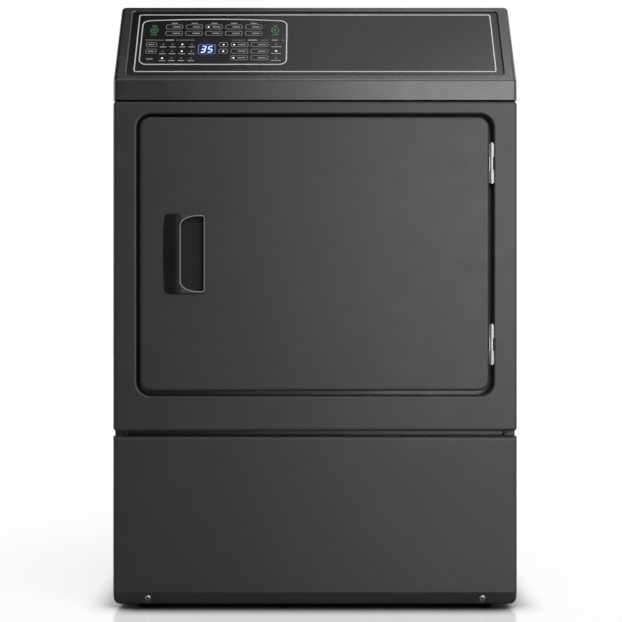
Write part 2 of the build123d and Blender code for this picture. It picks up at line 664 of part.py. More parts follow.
def hood_form(inset):
    """Outer block of the control hood, or its hollow when inset by the wall."""
    bottom, rear = HOOD_BOTTOM - inset, HOOD_DEPTH + 2 * inset
    profile = make_face(Polyline((0, bottom), (0, FACE_TOP), (RIDGE_Y, HEIGHT), (rear, HEIGHT),
                                 (rear, bottom), close=True))
    if inset:
        profile = offset(profile, amount=-inset, kind=Kind.INTERSECTION)
        profile += Pos(0, -inset) * profile
    body = across(profile, HALF - inset)
    corners = body.edges().filter_by(Axis.X)
    bevel = corners.sort_by_distance((0, 0, FACE_TOP))[0]
    ridge = corners.sort_by_distance((0, RIDGE_Y, HEIGHT))[0]
    body = body.fillet(BEVEL_RADIUS - inset / 2, [bevel]).fillet(RIDGE_RADIUS - inset, [ridge])
    ends = body.faces().filter_by(Axis.X).edges()
    seen = ends.filter_by(lambda edge: edge.center().Z > bottom + SHEET and edge.center().Y < rear - SHEET)
    return body.fillet(HOOD_EDGE - inset, seen)


def on_slope(sketch, v, low, high):
    """Solid on the sloping face: v up the slope from its lower edge, low and high along its normal."""
    return extrude(SLOPE.offset(low) * Pos(0, v) * sketch, amount=high - low)


def control_hood():
    """Hood shell with the recessed control face, and the ledge that carries the worktop."""
    floor = on_slope(RectangleRounded(RECESS_WIDTH + 2 * HOOD_WALL, RECESS_HEIGHT + HOOD_WALL,
                                      RECESS_CORNER + HOOD_WALL), RECESS_V, -RECESS_DEPTH - HOOD_WALL,
                     -HOOD_WALL / 2)
    recess = on_slope(RectangleRounded(RECESS_WIDTH, RECESS_HEIGHT, RECESS_CORNER), RECESS_V,
                      -RECESS_DEPTH, RECESS_DEPTH)
    window = on_slope(Rectangle(DISPLAY_WIDTH - 2 * HOOD_WALL, DISPLAY_HEIGHT - 2 * HOOD_WALL),
                      DISPLAY_V, -2 * RECESS_DEPTH, 0)
    ledge = block(-INNER_HALF + FLANGE, INNER_HALF - FLANGE, HOOD_DEPTH - HOOD_WALL, HOOD_DEPTH + FLANGE,
                  HEIGHT - SHEET - HOOD_WALL, HEIGHT - SHEET)
    hood = (hood_form(0) - hood_form(HOOD_WALL)) + (floor & hood_form(0)) + ledge - recess
    rim = hood.edges().filter_by(lambda edge: on_recess_rim(edge.center()))
    hood = hood.fillet(RECESS_ROLL, rim)
    for x, v in board_posts():
        hood += on_slope(Pos(x, 0) * Circle(POST_RADIUS), v, -RECESS_DEPTH - HOOD_WALL - BOARD_GAP,
                         -RECESS_DEPTH)
    return hood - Pos(DISPLAY_X, 0, 0) * window


def on_recess_rim(point):
    """Whether a point lies where the recess breaks the sloping face."""
    local = SLOPE.to_local_coords(point)
    aside = abs(local.X) < RECESS_WIDTH / 2 + OVERLAY_GAP
    return aside and abs(local.Z) < OVERLAY_GAP and RECESS_LOW - OVERLAY_GAP < local.Y < SLOPE_LENGTH


def key_pads():
    """Membrane keys of the overlay, as (x from the cluster's left edge, v up the slope, width)."""
    pads = [(KEY_X + column * KEY_PITCH, KEY_V - row * KEY_ROW_PITCH, KEY_WIDTH)
            for column in range(KEY_COLUMNS) for row in range(KEY_ROWS)]
    pads += [(OPTION_X + column * KEY_PITCH, OPTION_V - row * KEY_ROW_PITCH, KEY_WIDTH)
             for column in range(OPTION_COLUMNS) for row in range(OPTION_ROWS)]
    return pads + [(x, OPTION_V - row * KEY_ROW_PITCH, width) for row in range(SIDE_KEY_ROWS)
                   for x, width in ((ADJUST_X, ADJUST_WIDTH), (LEVEL_X, LEVEL_WIDTH))]


def control_overlay():
    """Printed overlay in the recess, with embossed membrane keys and two round ones."""
    low, high = -RECESS_DEPTH, -RECESS_DEPTH + OVERLAY
    sheet = on_slope(RectangleRounded(RECESS_WIDTH - 2 * OVERLAY_GAP, RECESS_HEIGHT - 2 * OVERLAY_GAP,
                                      RECESS_CORNER - OVERLAY_GAP), RECESS_V, low, high)
    pads = Sketch() + [Pos(CLUSTER_X + x, v) * RectangleRounded(width, KEY_HEIGHT, KEY_CORNER)
                       for x, v, width in key_pads()]
    pads += [Pos(CLUSTER_X + x, ROUND_KEY_V) * Circle(ROUND_KEY) for x in (POWER_X, START_X)]
    sheet += on_slope(pads, 0, low, high + KEY_RISE)
    return sheet - on_slope(Pos(DISPLAY_X, 0) * Rectangle(DISPLAY_WIDTH, DISPLAY_HEIGHT), DISPLAY_V, low, 0)


def display_window():
    """Clear window of the digit display, set in the overlay."""
    return on_slope(Pos(DISPLAY_X, 0) * Rectangle(DISPLAY_WIDTH - 2 * OVERLAY_GAP,
                                                  DISPLAY_HEIGHT - 2 * OVERLAY_GAP),
                    DISPLAY_V, -RECESS_DEPTH, -RECESS_DEPTH + OVERLAY)


def board_posts():
    """Places of the posts that carry the control board, as (x, v)."""
    return [(BOARD_X + side * (BOARD_WIDTH / 2 - POST_INSET), BOARD_V + end * POST_ROW)
            for side in (-1, 1) for end in (-1, 1)]


def control_board():
    """Circuit board behind the key cluster, with its transformer and relays."""
    rear = -RECESS_DEPTH - HOOD_WALL - BOARD_GAP
    board = on_slope(Pos(BOARD_X, 0) * Rectangle(BOARD_WIDTH, BOARD_HEIGHT), BOARD_V, rear - BOARD, rear)
    for x, size, height in ((TRANSFORMER_X, TRANSFORMER, TRANSFORMER_HEIGHT), (RELAY_X, RELAY, RELAY_HEIGHT),
                            (RELAY_X + RELAY_PITCH, RELAY, RELAY_HEIGHT)):
        part = Pos(BOARD_X + x, 0) * Rectangle(size, size)
        board += on_slope(part, BOARD_V, rear - BOARD - height, rear - BOARD)
    return board


def door_sketch(inset):
    """Outline of the door, inset by a distance."""
    return RectangleRounded(DOOR_WIDTH - 2 * inset, DOOR_HEIGHT - 2 * inset, DOOR_CORNER - inset)


def door_outer_panel():
    """Door skin: a deep pan with a cut-out for the handle cup."""

    def form(inset):
        return round_rim(slab(door_sketch(inset), DOOR_X, DOOR_Z, inset, DOOR_DEPTH + inset),
                         DOOR_EDGE - inset)

    hole = offset(handle_outline(), amount=CUP_FIT - HANDLE_HOLE)
    return form(0) - form(SHEET) - slab(hole, HANDLE_X, DOOR_Z, 0, SHEET)


def door_inner_panel():
    """Door liner, dished towards the drum inside the gasket."""
    rear = DOOR_DEPTH + LINER
    liner = slab(door_sketch(LINER_INSET), DOOR_X, DOOR_Z, DOOR_DEPTH, rear)
    liner += slab(load_outline(-DISH_INSET), DOOR_X, DOOR_Z, DOOR_DEPTH, rear + LINER_DISH)
    return liner - slab(load_outline(-DISH_INSET - LINER), DOOR_X, DOOR_Z, DOOR_DEPTH,
                        rear + LINER_DISH - LINER)


def door_gasket():
    """Soft ring on the liner that meets the bulkhead round the loading throat."""
    ring = load_outline(GASKET_INSET + GASKET_WIDTH) - load_outline(GASKET_INSET)
    return slab(ring, DOOR_X, DOOR_Z, DOOR_DEPTH + LINER, BULKHEAD_FRONT - GASKET_GAP)


def handle_outline():
    """Outline of the handle: a rounded oblong whose outer edge is bowed."""
    side, half = HANDLE_WIDTH / 2, HANDLE_HEIGHT / 2
    bow = ThreePointArc((HANDLE_BOW - side, half), (-side, 0), (HANDLE_BOW - side, -half))
    rest = Polyline((HANDLE_BOW - side, -half), (side, -half), (side, half), (HANDLE_BOW - side, half))
    face = make_face([bow, *rest.edges()])
    return fillet(face.vertices(), HANDLE_CORNER)


def pocket_outline():
    """D-shaped mouth of the finger pocket, with long easy corners beside the grip."""
    left, right = GRIP_WIDTH - HANDLE_WIDTH / 2, HANDLE_WIDTH / 2 - POCKET_MARGIN
    half = HANDLE_HEIGHT / 2 - POCKET_MARGIN
    x, z = left + POCKET_EASE_WIDE, half - POCKET_EASE_TALL
    upper = EllipticalCenterArc((x, z), POCKET_EASE_WIDE, POCKET_EASE_TALL, 90)
    lower = EllipticalCenterArc((x, -z), POCKET_EASE_WIDE, POCKET_EASE_TALL, 180)
    rest = Polyline((x, half), (right, half), (right, -half), (x, -half))
    face = make_face([Line((left, z), (left, -z)), lower, *rest.edges(), upper])
    far = face.vertices().filter_by(lambda vertex: vertex.X > right - OVERLAY_GAP)
    return fillet(far, POCKET_CORNER)


def door_handle():
    """Pull-cup handle: a face that swells to the grip, a finger pocket beside it and room behind the grip."""
    side = HANDLE_WIDTH / 2
    mouth = GRIP_WIDTH - side
    crest = [(mouth - GRIP_FLAT, -GRIP_PROUD), (mouth + GRIP_EDGE, -GRIP_PROUD)]
    rim = [(side, -HANDLE_RIM), (side, 0), (-side, 0), (-side, -HANDLE_RIM)]
    section = make_face(Polyline(*crest, *rim, close=True))
    section = fillet(section.vertices().sort_by(Axis.Y)[:2], GRIP_CREST)
    face = Pos(HANDLE_X, 0, DOOR_Z) * extrude(section, HANDLE_HEIGHT / 2, both=True)
    face &= slab(handle_outline(), HANDLE_X, DOOR_Z, -GRIP_PROUD, 0)
    half = HANDLE_HEIGHT / 2
    ends = face.edges().filter_by(lambda edge: abs((edge @ 0.5).Z - DOOR_Z) > half - POCKET_MARGIN)
    face = face.fillet(GRIP_ROUND, ends.filter_by(lambda edge: (edge @ 0.5).Y < -HANDLE_RIM))
    cup = slab(offset(handle_outline(), amount=-HANDLE_HOLE), HANDLE_X, DOOR_Z, 0, POCKET_DEPTH + HANDLE_WALL)
    handle = face + cup - slab(pocket_outline(), HANDLE_X, DOOR_Z, -GRIP_PROUD, POCKET_DEPTH)
    line = stand(pocket_outline(), HANDLE_X, 0, DOOR_Z).wire()
    mouths = handle.edges().filter_by(lambda edge: on_pocket_mouth(edge @ 0.5, line))
    handle = handle.fillet(MOUTH_ROUND, mouths)
    undercut = Rectangle(POCKET_UNDERCUT + HANDLE_RIM, 2 * (half - POCKET_EASE_TALL - POCKET_MARGIN))
    undercut = Pos(mouth - POCKET_UNDERCUT / 2, 0) * undercut
    return handle - slab(undercut, HANDLE_X, DOOR_Z, HANDLE_RIM, POCKET_DEPTH)


def on_pocket_mouth(point, line):
    """Whether a point lies on the handle's face, in front of the line round the finger pocket."""
    behind = Vector(point.X, 0, point.Z)
    return point.Y < -HANDLE_RIM / 2 and line.distance_to(behind) < CUP_FIT


def hinge_middles():
    """Heights of the two hinges."""
    return (DOOR_Z - HINGE_OFFSET, DOOR_Z + HINGE_OFFSET)


def hinge_leaf(x0, x1, middle, knuckles):
    """Leaf plate with rolled knuckles; knuckles are (from, to) along the height."""
    low = middle - HINGE_HEIGHT / 2
    leaf = block(x0, x1, LEAF_SETBACK, HINGE_LEAF_DEPTH, low, low + HINGE_HEIGHT)
    for start, end in knuckles:
        z0, z1 = low + start, low + end
        leaf += block(x0, x1, 0, LEAF_SETBACK, z0, z1)
        leaf += Pos(HINGE_X, 0, (z0 + z1) / 2) * Cylinder(BARREL_RADIUS, z1 - z0)
    return leaf - Pos(HINGE_X, 0, middle) * Cylinder(PIN_RADIUS + PIN_FIT, HINGE_HEIGHT + PAST)


def hinge_frame_leaves():
    """Leaves on the rim of the opening, each with an upper and a lower knuckle."""
    third = HINGE_HEIGHT / 3
    x1 = OPENING_WIDTH / 2
    return [hinge_leaf(x1 - HINGE_LEAF, x1, middle, ((0, third), (2 * third, HINGE_HEIGHT)))
            for middle in hinge_middles()]


def hinge_door_leaves():
    """Leaves on the edge of the door, each with one middle knuckle."""
    third = HINGE_HEIGHT / 3
    return [hinge_leaf(DOOR_RIGHT, DOOR_RIGHT + HINGE_LEAF, middle,
                       ((third + KNUCKLE_GAP, 2 * third - KNUCKLE_GAP),)) for middle in hinge_middles()]


def hinge_pins():
    """Headed pins through the knuckles."""
    pins = []
    for middle in hinge_middles():
        pin = Cylinder(PIN_RADIUS, HINGE_HEIGHT)
        for end in (-1, 1):
            pin += Pos(0, 0, end * (HINGE_HEIGHT + PIN_HEAD) / 2) * Cylinder(BARREL_RADIUS, PIN_HEAD)
        pins.append(Pos(HINGE_X, 0, middle) * pin)
    return pins


def load_outline(grow):
    """Outline of the loading throat, grown by a distance."""
    return RectangleRounded(LOAD_WIDTH + 2 * grow, LOAD_HEIGHT + 2 * grow, LOAD_CORNER + grow)


def front_bulkhead():
    """Flanged plate behind the door, drawn back into the loading throat, with the filter slot in its sill."""
    half = INNER_HALF - BULKHEAD_SIDE
    top, bottom = FRONT_TOP - BULKHEAD_MARGIN, LOWER_PANEL_TOP - BULKHEAD_DROP
    front = BULKHEAD_FRONT + BULKHEAD

    def pan(wall, y1):
        outline = RectangleRounded(2 * (half - wall), top - bottom - 2 * wall, PAN_CORNER - wall)
        return slab(outline, 0, (top + bottom) / 2, SIDE_FRONT, y1)

    plate = pan(0, front) - pan(BULKHEAD, BULKHEAD_FRONT)
    plate += slab(load_outline(BULKHEAD), 0, DRUM_Z, BULKHEAD_FRONT, COLLAR_PLATE)
    plate -= slab(load_outline(0), 0, DRUM_Z, BULKHEAD_FRONT, COLLAR_PLATE)
    plate -= filter_space(FILTER_GAP, SILL_Z - 2 * BULKHEAD, SILL_Z + LOAD_CORNER / 4)
    plate -= slab(Rectangle(CATCH_MOUTH, CATCH_TALL), CATCH_X, DOOR_Z, BULKHEAD_FRONT, front)
    return plate - slab(Circle(PLUNGER + PLUNGER_CLEARANCE), SWITCH_X, SWITCH_Z, BULKHEAD_FRONT, front)


def front_collar():
    """Ring plate on the rear of the throat, with the collar inside the drum and the vents to the filter."""
    plate = Circle(COLLAR_RADIUS + BULKHEAD_LIP) - load_outline(0)
    for row in range(VENT_ROWS):
        z = VENT_Z - DRUM_Z + (row - (VENT_ROWS - 1) / 2) * VENT_PITCH
        plate -= Pos(0, z) * SlotOverall(VENT_LENGTH, VENT_SLOT)
    rear = BULKHEAD_REAR + COLLAR_LENGTH
    ring = tube(COLLAR_RADIUS, COLLAR_RADIUS - COLLAR_WALL, 0, DRUM_Z, COLLAR_PLATE, rear)
    return slab(plate, 0, DRUM_Z, COLLAR_PLATE, BULKHEAD_REAR) + ring


def filter_space(gap, z0, z1):
    """Upright space of the lint filter, with a gap all round it."""
    side, depth = FILTER_WIDTH / 2 + gap, FILTER_THICKNESS / 2 + gap
    return block(-side, side, FILTER_Y - depth, FILTER_Y + depth, z0, z1)


def door_strike():
    """Strike plate on the liner with a barbed prong."""
    seat = DOOR_DEPTH + LINER
    plate = slab(RectangleRounded(CATCH_MOUTH + 2 * STRIKE_MARGIN, STRIKE_TALL, STRIKE_CORNER), CATCH_X,
                 DOOR_Z, seat, seat + BULKHEAD)
    tip = BULKHEAD_FRONT + STRIKE_REACH
    prong = make_face(Polyline((-PRONG, seat), (PRONG, seat), (PRONG, tip - BARB_START),
                               (PRONG + BARB, tip - BARB_CREST), (BARB_TIP, tip), (-PRONG, tip), close=True))
    return plate + Pos(CATCH_X, 0, DOOR_Z) * extrude(prong, PRONG_TALL, both=True)


def door_catch():
    """Catch housing behind the bulkhead plate, open towards the door."""
    front = BULKHEAD_FRONT + BULKHEAD
    floor = front + STRIKE_REACH + CATCH_ROOM
    outline = RectangleRounded(CATCH_MOUTH + 2 * CATCH_WALL, CATCH_TALL + 2 * CATCH_EAR, CATCH_CORNER)
    case = slab(outline, CATCH_X, DOOR_Z, front, floor + LINER)
    return case - slab(Rectangle(CATCH_MOUTH, CATCH_TALL), CATCH_X, DOOR_Z, front, floor)


def door_switch_body():
    """Door switch behind the bulkhead plate, bored for its plunger."""
    front = BULKHEAD_FRONT + BULKHEAD
    rear = front + SWITCH_DEPTH
    case = slab(RectangleRounded(SWITCH_SIZE, SWITCH_TALL, SWITCH_CORNER), SWITCH_X, SWITCH_Z, front, rear)
    return case - slab(Circle(PLUNGER + SHAFT_FIT), SWITCH_X, SWITCH_Z, front, rear - SWITCH_FLOOR)


def door_switch_plunger():
    """Round plunger that the door liner holds in."""
    tip = DOOR_DEPTH + LINER + PLUNGER_CLEARANCE
    end = BULKHEAD_FRONT + BULKHEAD + SWITCH_DEPTH - SWITCH_FLOOR - PLUNGER_PLAY
    return round_rim(slab(Circle(PLUNGER), SWITCH_X, SWITCH_Z, tip, end), PLUNGER_ROUND)


def drum_shell():
    """Drum with an inward lip at each end, rolled towards the middle."""
    middle, half = (DRUM_FRONT + DRUM_REAR) / 2, (DRUM_REAR - DRUM_FRONT) / 2
    sheet = DRUM_WALL / 2
    wall, lip, face, roll = DRUM_OUTER - sheet, LIP_RADIUS + sheet, half - sheet, half - LIP_ROLL
    line = Polyline((lip, -roll), (lip, -face), (wall, -face), (wall, face), (lip, face), (lip, roll))
    return Pos(0, middle, DRUM_Z) * revolve(trace(line, DRUM_WALL), Axis.Y)


def drum_baffles():
    """Hollow lifting vanes, open where they sit on the drum wall."""
    front, rear = DRUM_FRONT + BAFFLE_END_GAP, DRUM_REAR - BAFFLE_END_GAP

    def form(wall):
        tip = Pos(0, DRUM_INNER - BAFFLE_HEIGHT + BAFFLE_TIP) * Circle(BAFFLE_TIP - wall)
        base = Pos(0, DRUM_INNER) * Rectangle(BAFFLE_BASE - 2 * wall, BAFFLE_TIP)
        outline = make_hull([*tip.edges(), *base.edges()]) & Circle(DRUM_INNER)
        return slab(outline, 0, DRUM_Z, front + wall, rear - wall)

    vane = form(0) - form(BAFFLE_WALL)
    middle = Axis((0, 0, DRUM_Z), (0, 1, 0))
    return [vane.rotate(middle, 360 * step / BAFFLE_COUNT) for step in range(BAFFLE_COUNT)]


def front_drum_seal():
    """Felt ring between the front collar and the drum lip."""
    return tube(LIP_RADIUS - SEAL_GAP, COLLAR_RADIUS, 0, DRUM_Z, BULKHEAD_REAR, BULKHEAD_REAR + SEAL_WIDTH)


def drum_glides():
    """Two slippery pads on the collar that carry the front of the drum."""
    ring = Circle(LIP_RADIUS - ROLLER_GAP) - Circle(COLLAR_RADIUS)
    part = ring & Pos(0, -LIP_RADIUS) * Rectangle(GLIDE_WIDTH, LIP_RADIUS)
    pad = slab(part, 0, DRUM_Z, BULKHEAD_REAR + SEAL_WIDTH, BULKHEAD_REAR + COLLAR_LENGTH)
    middle = Axis((0, 0, DRUM_Z), (0, 1, 0))
    return [pad.rotate(middle, side * ROLLER_ANGLE) for side in (-1, 1)]


def rear_bulkhead():
    """Fixed rear wall of the drum space: a flanged plate with a collar and the hot air grille."""
    top, bottom = DRUM_Z + DRUM_OUTER + REAR_MARGIN, DRUM_Z - DRUM_OUTER - REAR_MARGIN
    wall = REAR_WALL + BULKHEAD
    plate = block(-INNER_HALF, INNER_HALF, REAR_WALL, wall + FLANGE, bottom, top)
    inner = INNER_HALF - BULKHEAD
    plate -= block(-inner, inner, wall, wall + FLANGE + PAST, bottom + BULKHEAD, top - BULKHEAD)
    plate += tube(COLLAR_RADIUS, COLLAR_RADIUS - COLLAR_WALL, 0, DRUM_Z, REAR_WALL - COLLAR_LENGTH, wall)
    spoke = SlotOverall(GRILLE_RADIUS - GRILLE_INNER, GRILLE_SLOT)
    spoke = Pos((GRILLE_INNER + GRILLE_RADIUS) / 2, 0) * spoke
    slots = Sketch() + [Rotation(0, 0, 360 * step / GRILLE_SLOTS) * spoke for step in range(GRILLE_SLOTS)]
    return plate - slab(slots, 0, DRUM_Z, REAR_WALL, wall)


def rear_drum_seal():
    """Felt ring between the rear collar and the drum lip."""
    return tube(LIP_RADIUS - SEAL_GAP, COLLAR_RADIUS, 0, DRUM_Z, REAR_WALL - SEAL_WIDTH, REAR_WALL)


def heater_box():
    """Round sheet housing over the grille, open at the bottom for fresh air."""
    front, rear = REAR_WALL + BULKHEAD, REAR_INSIDE - HEATER_GAP
    radius = GRILLE_RADIUS + HEATER_MARGIN
    drop = radius + HEATER_MARGIN

    def outline(wall):
        return Circle(radius - wall) + Pos(0, -drop / 2) * Rectangle(HEATER_NECK - 2 * wall, drop)

    return slab(outline(0), 0, DRUM_Z, front, rear) - slab(outline(SHEET), 0, DRUM_Z, front, rear - SHEET)


def heater_element():
    """Two concentric heating bands on a bridge fixed to the heater box."""
    rear = REAR_INSIDE - HEATER_GAP - SHEET
    y = rear - HEATER_STANDOFF
    loops = [tube(radius + HEATER_ROD, radius - HEATER_ROD, 0, DRUM_Z, y - HEATER_ROD, y + HEATER_ROD)
             for radius in (HEATER_LOOP, HEATER_LOOP_INNER)]
    bridge = block(-HEATER_LOOP, HEATER_LOOP, y - SHEET, y + SHEET, DRUM_Z - HEATER_ROD, DRUM_Z + HEATER_ROD)
    posts = [block(x - HEATER_ROD, x + HEATER_ROD, y, rear, DRUM_Z - HEATER_ROD, DRUM_Z + HEATER_ROD)
             for x in (-HEATER_POST, HEATER_POST)]
    return Part() + [*loops, bridge, *posts]


def thermostats():
    """Two disc thermostats side by side on the side wall of the heater neck."""
    middle = (REAR_WALL + REAR_INSIDE) / 2
    z = DRUM_Z - GRILLE_RADIUS - 3 * HEATER_MARGIN / 2 + THERMOSTAT
    height = THERMOSTAT_HEIGHT + THERMOSTAT_CAP
    cap = Pos(0, 0, height / 2) * Cylinder(THERMOSTAT_CAP_RADIUS, THERMOSTAT_CAP)
    disc = Rotation(0, 90, 0) * (Cylinder(THERMOSTAT, THERMOSTAT_HEIGHT) + cap)
    return [Pos((HEATER_NECK + THERMOSTAT_HEIGHT) / 2, middle + side * THERMOSTAT_PITCH / 2, z) * disc
            for side in (-1, 1)]


def roller_places():
    """Axes of the two drum rollers, as (x, z)."""
    reach = DRUM_OUTER + ROLLER_GAP + ROLLER_RADIUS
    angle = radians(ROLLER_ANGLE)
    return [(side * reach * sin(angle), DRUM_Z - reach * cos(angle)) for side in (-1, 1)]


def drum_roller(x, z):
    """Tyred roller, dished on both sides, bored for its shaft."""
    rear = REAR_WALL - ROLLER_STANDOFF
    wheel = slab(Circle(ROLLER_RADIUS), x, z, rear - ROLLER_WIDTH, rear)
    dish = tube(ROLLER_RADIUS - ROLLER_TYRE, ROLLER_HUB, x, z, 0, ROLLER_DISH)
    wheel -= Pos(0, rear - ROLLER_WIDTH, 0) * dish
    wheel -= Pos(0, rear - ROLLER_DISH, 0) * dish
    return wheel - slab(Circle(ROLLER_SHAFT + SHAFT_FIT), x, z, rear - ROLLER_WIDTH, rear)


def roller_shafts():
    """Fixed shafts of the rollers, each with a shoulder and a retaining head."""
    rear = REAR_WALL - ROLLER_STANDOFF
    head = rear - ROLLER_WIDTH - ROLLER_GAP
    shafts = []
    for x, z in roller_places():
        shaft = slab(Circle(ROLLER_SHAFT), x, z, head, REAR_WALL)
        shaft += slab(Circle(SHAFT_SHOULDER), x, z, rear + ROLLER_GAP, REAR_WALL)
        shafts.append(shaft + slab(Circle(SHAFT_HEAD), x, z, head - SHAFT_HEAD_LENGTH, head))
    return shafts


def motor_body():
    """Motor can with a smaller bell at each end, bored for the shaft."""
    can = slab(Circle(MOTOR_RADIUS), MOTOR_X, MOTOR_Z, CAN_FRONT, CAN_REAR)
    bell = Circle(MOTOR_BELL_RADIUS)
    can += slab(bell, MOTOR_X, MOTOR_Z, MOTOR_FRONT + MOTOR_BOSS, MOTOR_REAR - MOTOR_BOSS)
    can += slab(Circle(MOTOR_BOSS_RADIUS), MOTOR_X, MOTOR_Z, MOTOR_FRONT, MOTOR_REAR)
    return can - slab(Circle(MOTOR_SHAFT + SHAFT_FIT), MOTOR_X, MOTOR_Z, MOTOR_FRONT, MOTOR_REAR)


def motor_mount():
    """Two saddle plates on a foot, cradling the motor can on the base pan."""
    y0, y1 = CAN_FRONT + MOUNT_INSET, CAN_REAR - MOUNT_INSET
    half = MOUNT_WIDTH / 2
    saddle = Pos(0, (BASE_FLOOR - MOTOR_Z) / 2) * Rectangle(MOUNT_WIDTH, MOTOR_Z - BASE_FLOOR)
    saddle -= Circle(MOTOR_RADIUS)
    mount = slab(saddle, MOTOR_X, MOTOR_Z, y0, y0 + MOUNT_PLATE)
    mount += slab(saddle, MOTOR_X, MOTOR_Z, y1 - MOUNT_PLATE, y1)
    return mount + block(MOTOR_X - half, MOTOR_X + half, y0, y1, BASE_FLOOR, BASE_FLOOR + MOUNT_PLATE)


def motor_shaft():
    """Shaft from the blower wheel through the motor to the belt pulley."""
    front, rear = WHEEL_REAR - WHEEL_HUB_LENGTH, BELT_Y + PULLEY_WIDTH / 2
    return slab(Circle(MOTOR_SHAFT), MOTOR_X, MOTOR_Z, front, rear)


def motor_pulley():
    """Flanged belt pulley on the motor shaft."""
    y0, y1 = BELT_Y - PULLEY_WIDTH / 2, BELT_Y + PULLEY_WIDTH / 2
    pulley = slab(Circle(PULLEY_RADIUS), MOTOR_X, MOTOR_Z, y0, y1)
    for y in (y0, y1 - PULLEY_FLANGE):
        pulley += slab(Circle(PULLEY_RADIUS + PULLEY_RISE), MOTOR_X, MOTOR_Z, y, y + PULLEY_FLANGE)
    return pulley - slab(Circle(MOTOR_SHAFT), MOTOR_X, MOTOR_Z, y0, y1)


def tangent(first, second):
    """Ends of the belt run between two (x, z, radius); a pulley outside the loop has a negative radius."""
    dx, dz = second[0] - first[0], second[1] - first[1]
    turn = atan2(dz, dx) + acos((second[2] - first[2]) / hypot(dx, dz))
    return [(x - radius * cos(turn), z - radius * sin(turn)) for x, z, radius in (first, second)]


def belt_loop(stops):
    """Closed face inside a belt line that runs anticlockwise round its stops."""
    runs = [tangent(stop, stops[(place + 1) % len(stops)]) for place, stop in enumerate(stops)]
    edges = []
    for place, (x, z, radius) in enumerate(stops):
        start, end = runs[place - 1][1], runs[place][0]
        sense = 1 if radius > 0 else -1
        begin = atan2(start[1] - z, start[0] - x)
        sweep = sense * ((sense * (atan2(end[1] - z, end[0] - x) - begin)) % (2 * pi))
        middle = begin + sweep / 2
        crest = (x + abs(radius) * cos(middle), z + abs(radius) * sin(middle))
        edges += [ThreePointArc(start, crest, end), Line(*runs[place])]
    return make_face(edges)


def idler_place():
    """Axis of the idler, pressed into the slack side of the belt from outside."""
    (x0, z0), (x1, z1) = tangent((0, DRUM_Z, DRUM_OUTER), (MOTOR_X, MOTOR_Z, PULLEY_RADIUS))
    length = hypot(x1 - x0, z1 - z0)
    along = ((x1 - x0) / length, (z1 - z0) / length)
    press = IDLER_RADIUS + BELT_GAP - IDLER_PUSH
    return (x1 - along[0] * IDLER_ALONG + along[1] * press, z1 - along[1] * IDLER_ALONG - along[0] * press)


def drive_belt():
    """Belt round the drum and the motor pulley, bent in by the idler."""
    x, z = idler_place()

    def line(distance):
        return belt_loop([(0, DRUM_Z, DRUM_OUTER + distance),
                          (x, z, -(IDLER_RADIUS + 2 * BELT_GAP + BELT_THICKNESS - distance)),
                          (MOTOR_X, MOTOR_Z, PULLEY_RADIUS + distance)])

    face = line(BELT_GAP + BELT_THICKNESS) - line(BELT_GAP)
    return slab(face, 0, 0, BELT_Y - BELT_WIDTH / 2, BELT_Y + BELT_WIDTH / 2)


def idler_pulley():
    """Smooth flanged idler, bored for its pin."""
    x, z = idler_place()
    y0, y1 = BELT_Y - IDLER_WIDTH / 2, BELT_Y + IDLER_WIDTH / 2
    pulley = slab(Circle(IDLER_RADIUS), x, z, y0, y1)
    for y in (y0, y1 - PULLEY_FLANGE):
        pulley += slab(Circle(IDLER_RADIUS + IDLER_RISE), x, z, y, y + PULLEY_FLANGE)
    return pulley - slab(Circle(IDLER_PIN + SHAFT_FIT), x, z, y0, y1)


def arm_pivot():
    """Axis on which the idler arm turns."""
    x, z = idler_place()
    return (x - ARM_REACH, z - ARM_DROP)


def idler_arm():
    """Sprung arm behind the belt that carries the idler on a pin."""
    x, z = idler_place()
    px, pz = arm_pivot()
    eye, hub = Pos(x, z) * Circle(ARM_EYE), Pos(px, pz) * Circle(ARM_HUB)
    arm = slab(make_hull([*eye.edges(), *hub.edges()]), 0, 0, ARM_Y, ARM_Y + ARM_PLATE)
    arm += slab(hub, 0, 0, ARM_Y, ARM_Y + ARM_HUB_LENGTH)
    arm += slab(Circle(IDLER_PIN), x, z, BELT_Y - IDLER_WIDTH / 2 - PIN_PROUD, ARM_Y)
    arm += slab(Circle(IDLER_SHOULDER), x, z, BELT_Y + IDLER_WIDTH / 2 + BELT_GAP, ARM_Y)
    return arm - slab(Circle(ARM_PIN + SHAFT_FIT), px, pz, ARM_Y, ARM_Y + ARM_HUB_LENGTH)


def idler_post():
    """Bracket on the base pan with the pivot pin of the idler arm."""
    px, pz = arm_pivot()
    y1 = ARM_Y + ARM_HUB_LENGTH + BELT_GAP
    half = POST_WIDTH / 2
    ear = Pos(px, (pz + BASE_FLOOR) / 2) * Rectangle(2 * ARM_HUB, pz - BASE_FLOOR)
    ear += Pos(px, pz) * Circle(ARM_HUB)
    post = slab(ear, 0, 0, y1, y1 + MOUNT_PLATE) + slab(Circle(ARM_PIN), px, pz, ARM_Y, y1)
    return post + block(px - half, px + half, y1, y1 + POST_FOOT, BASE_FLOOR, BASE_FLOOR + MOUNT_PLATE)


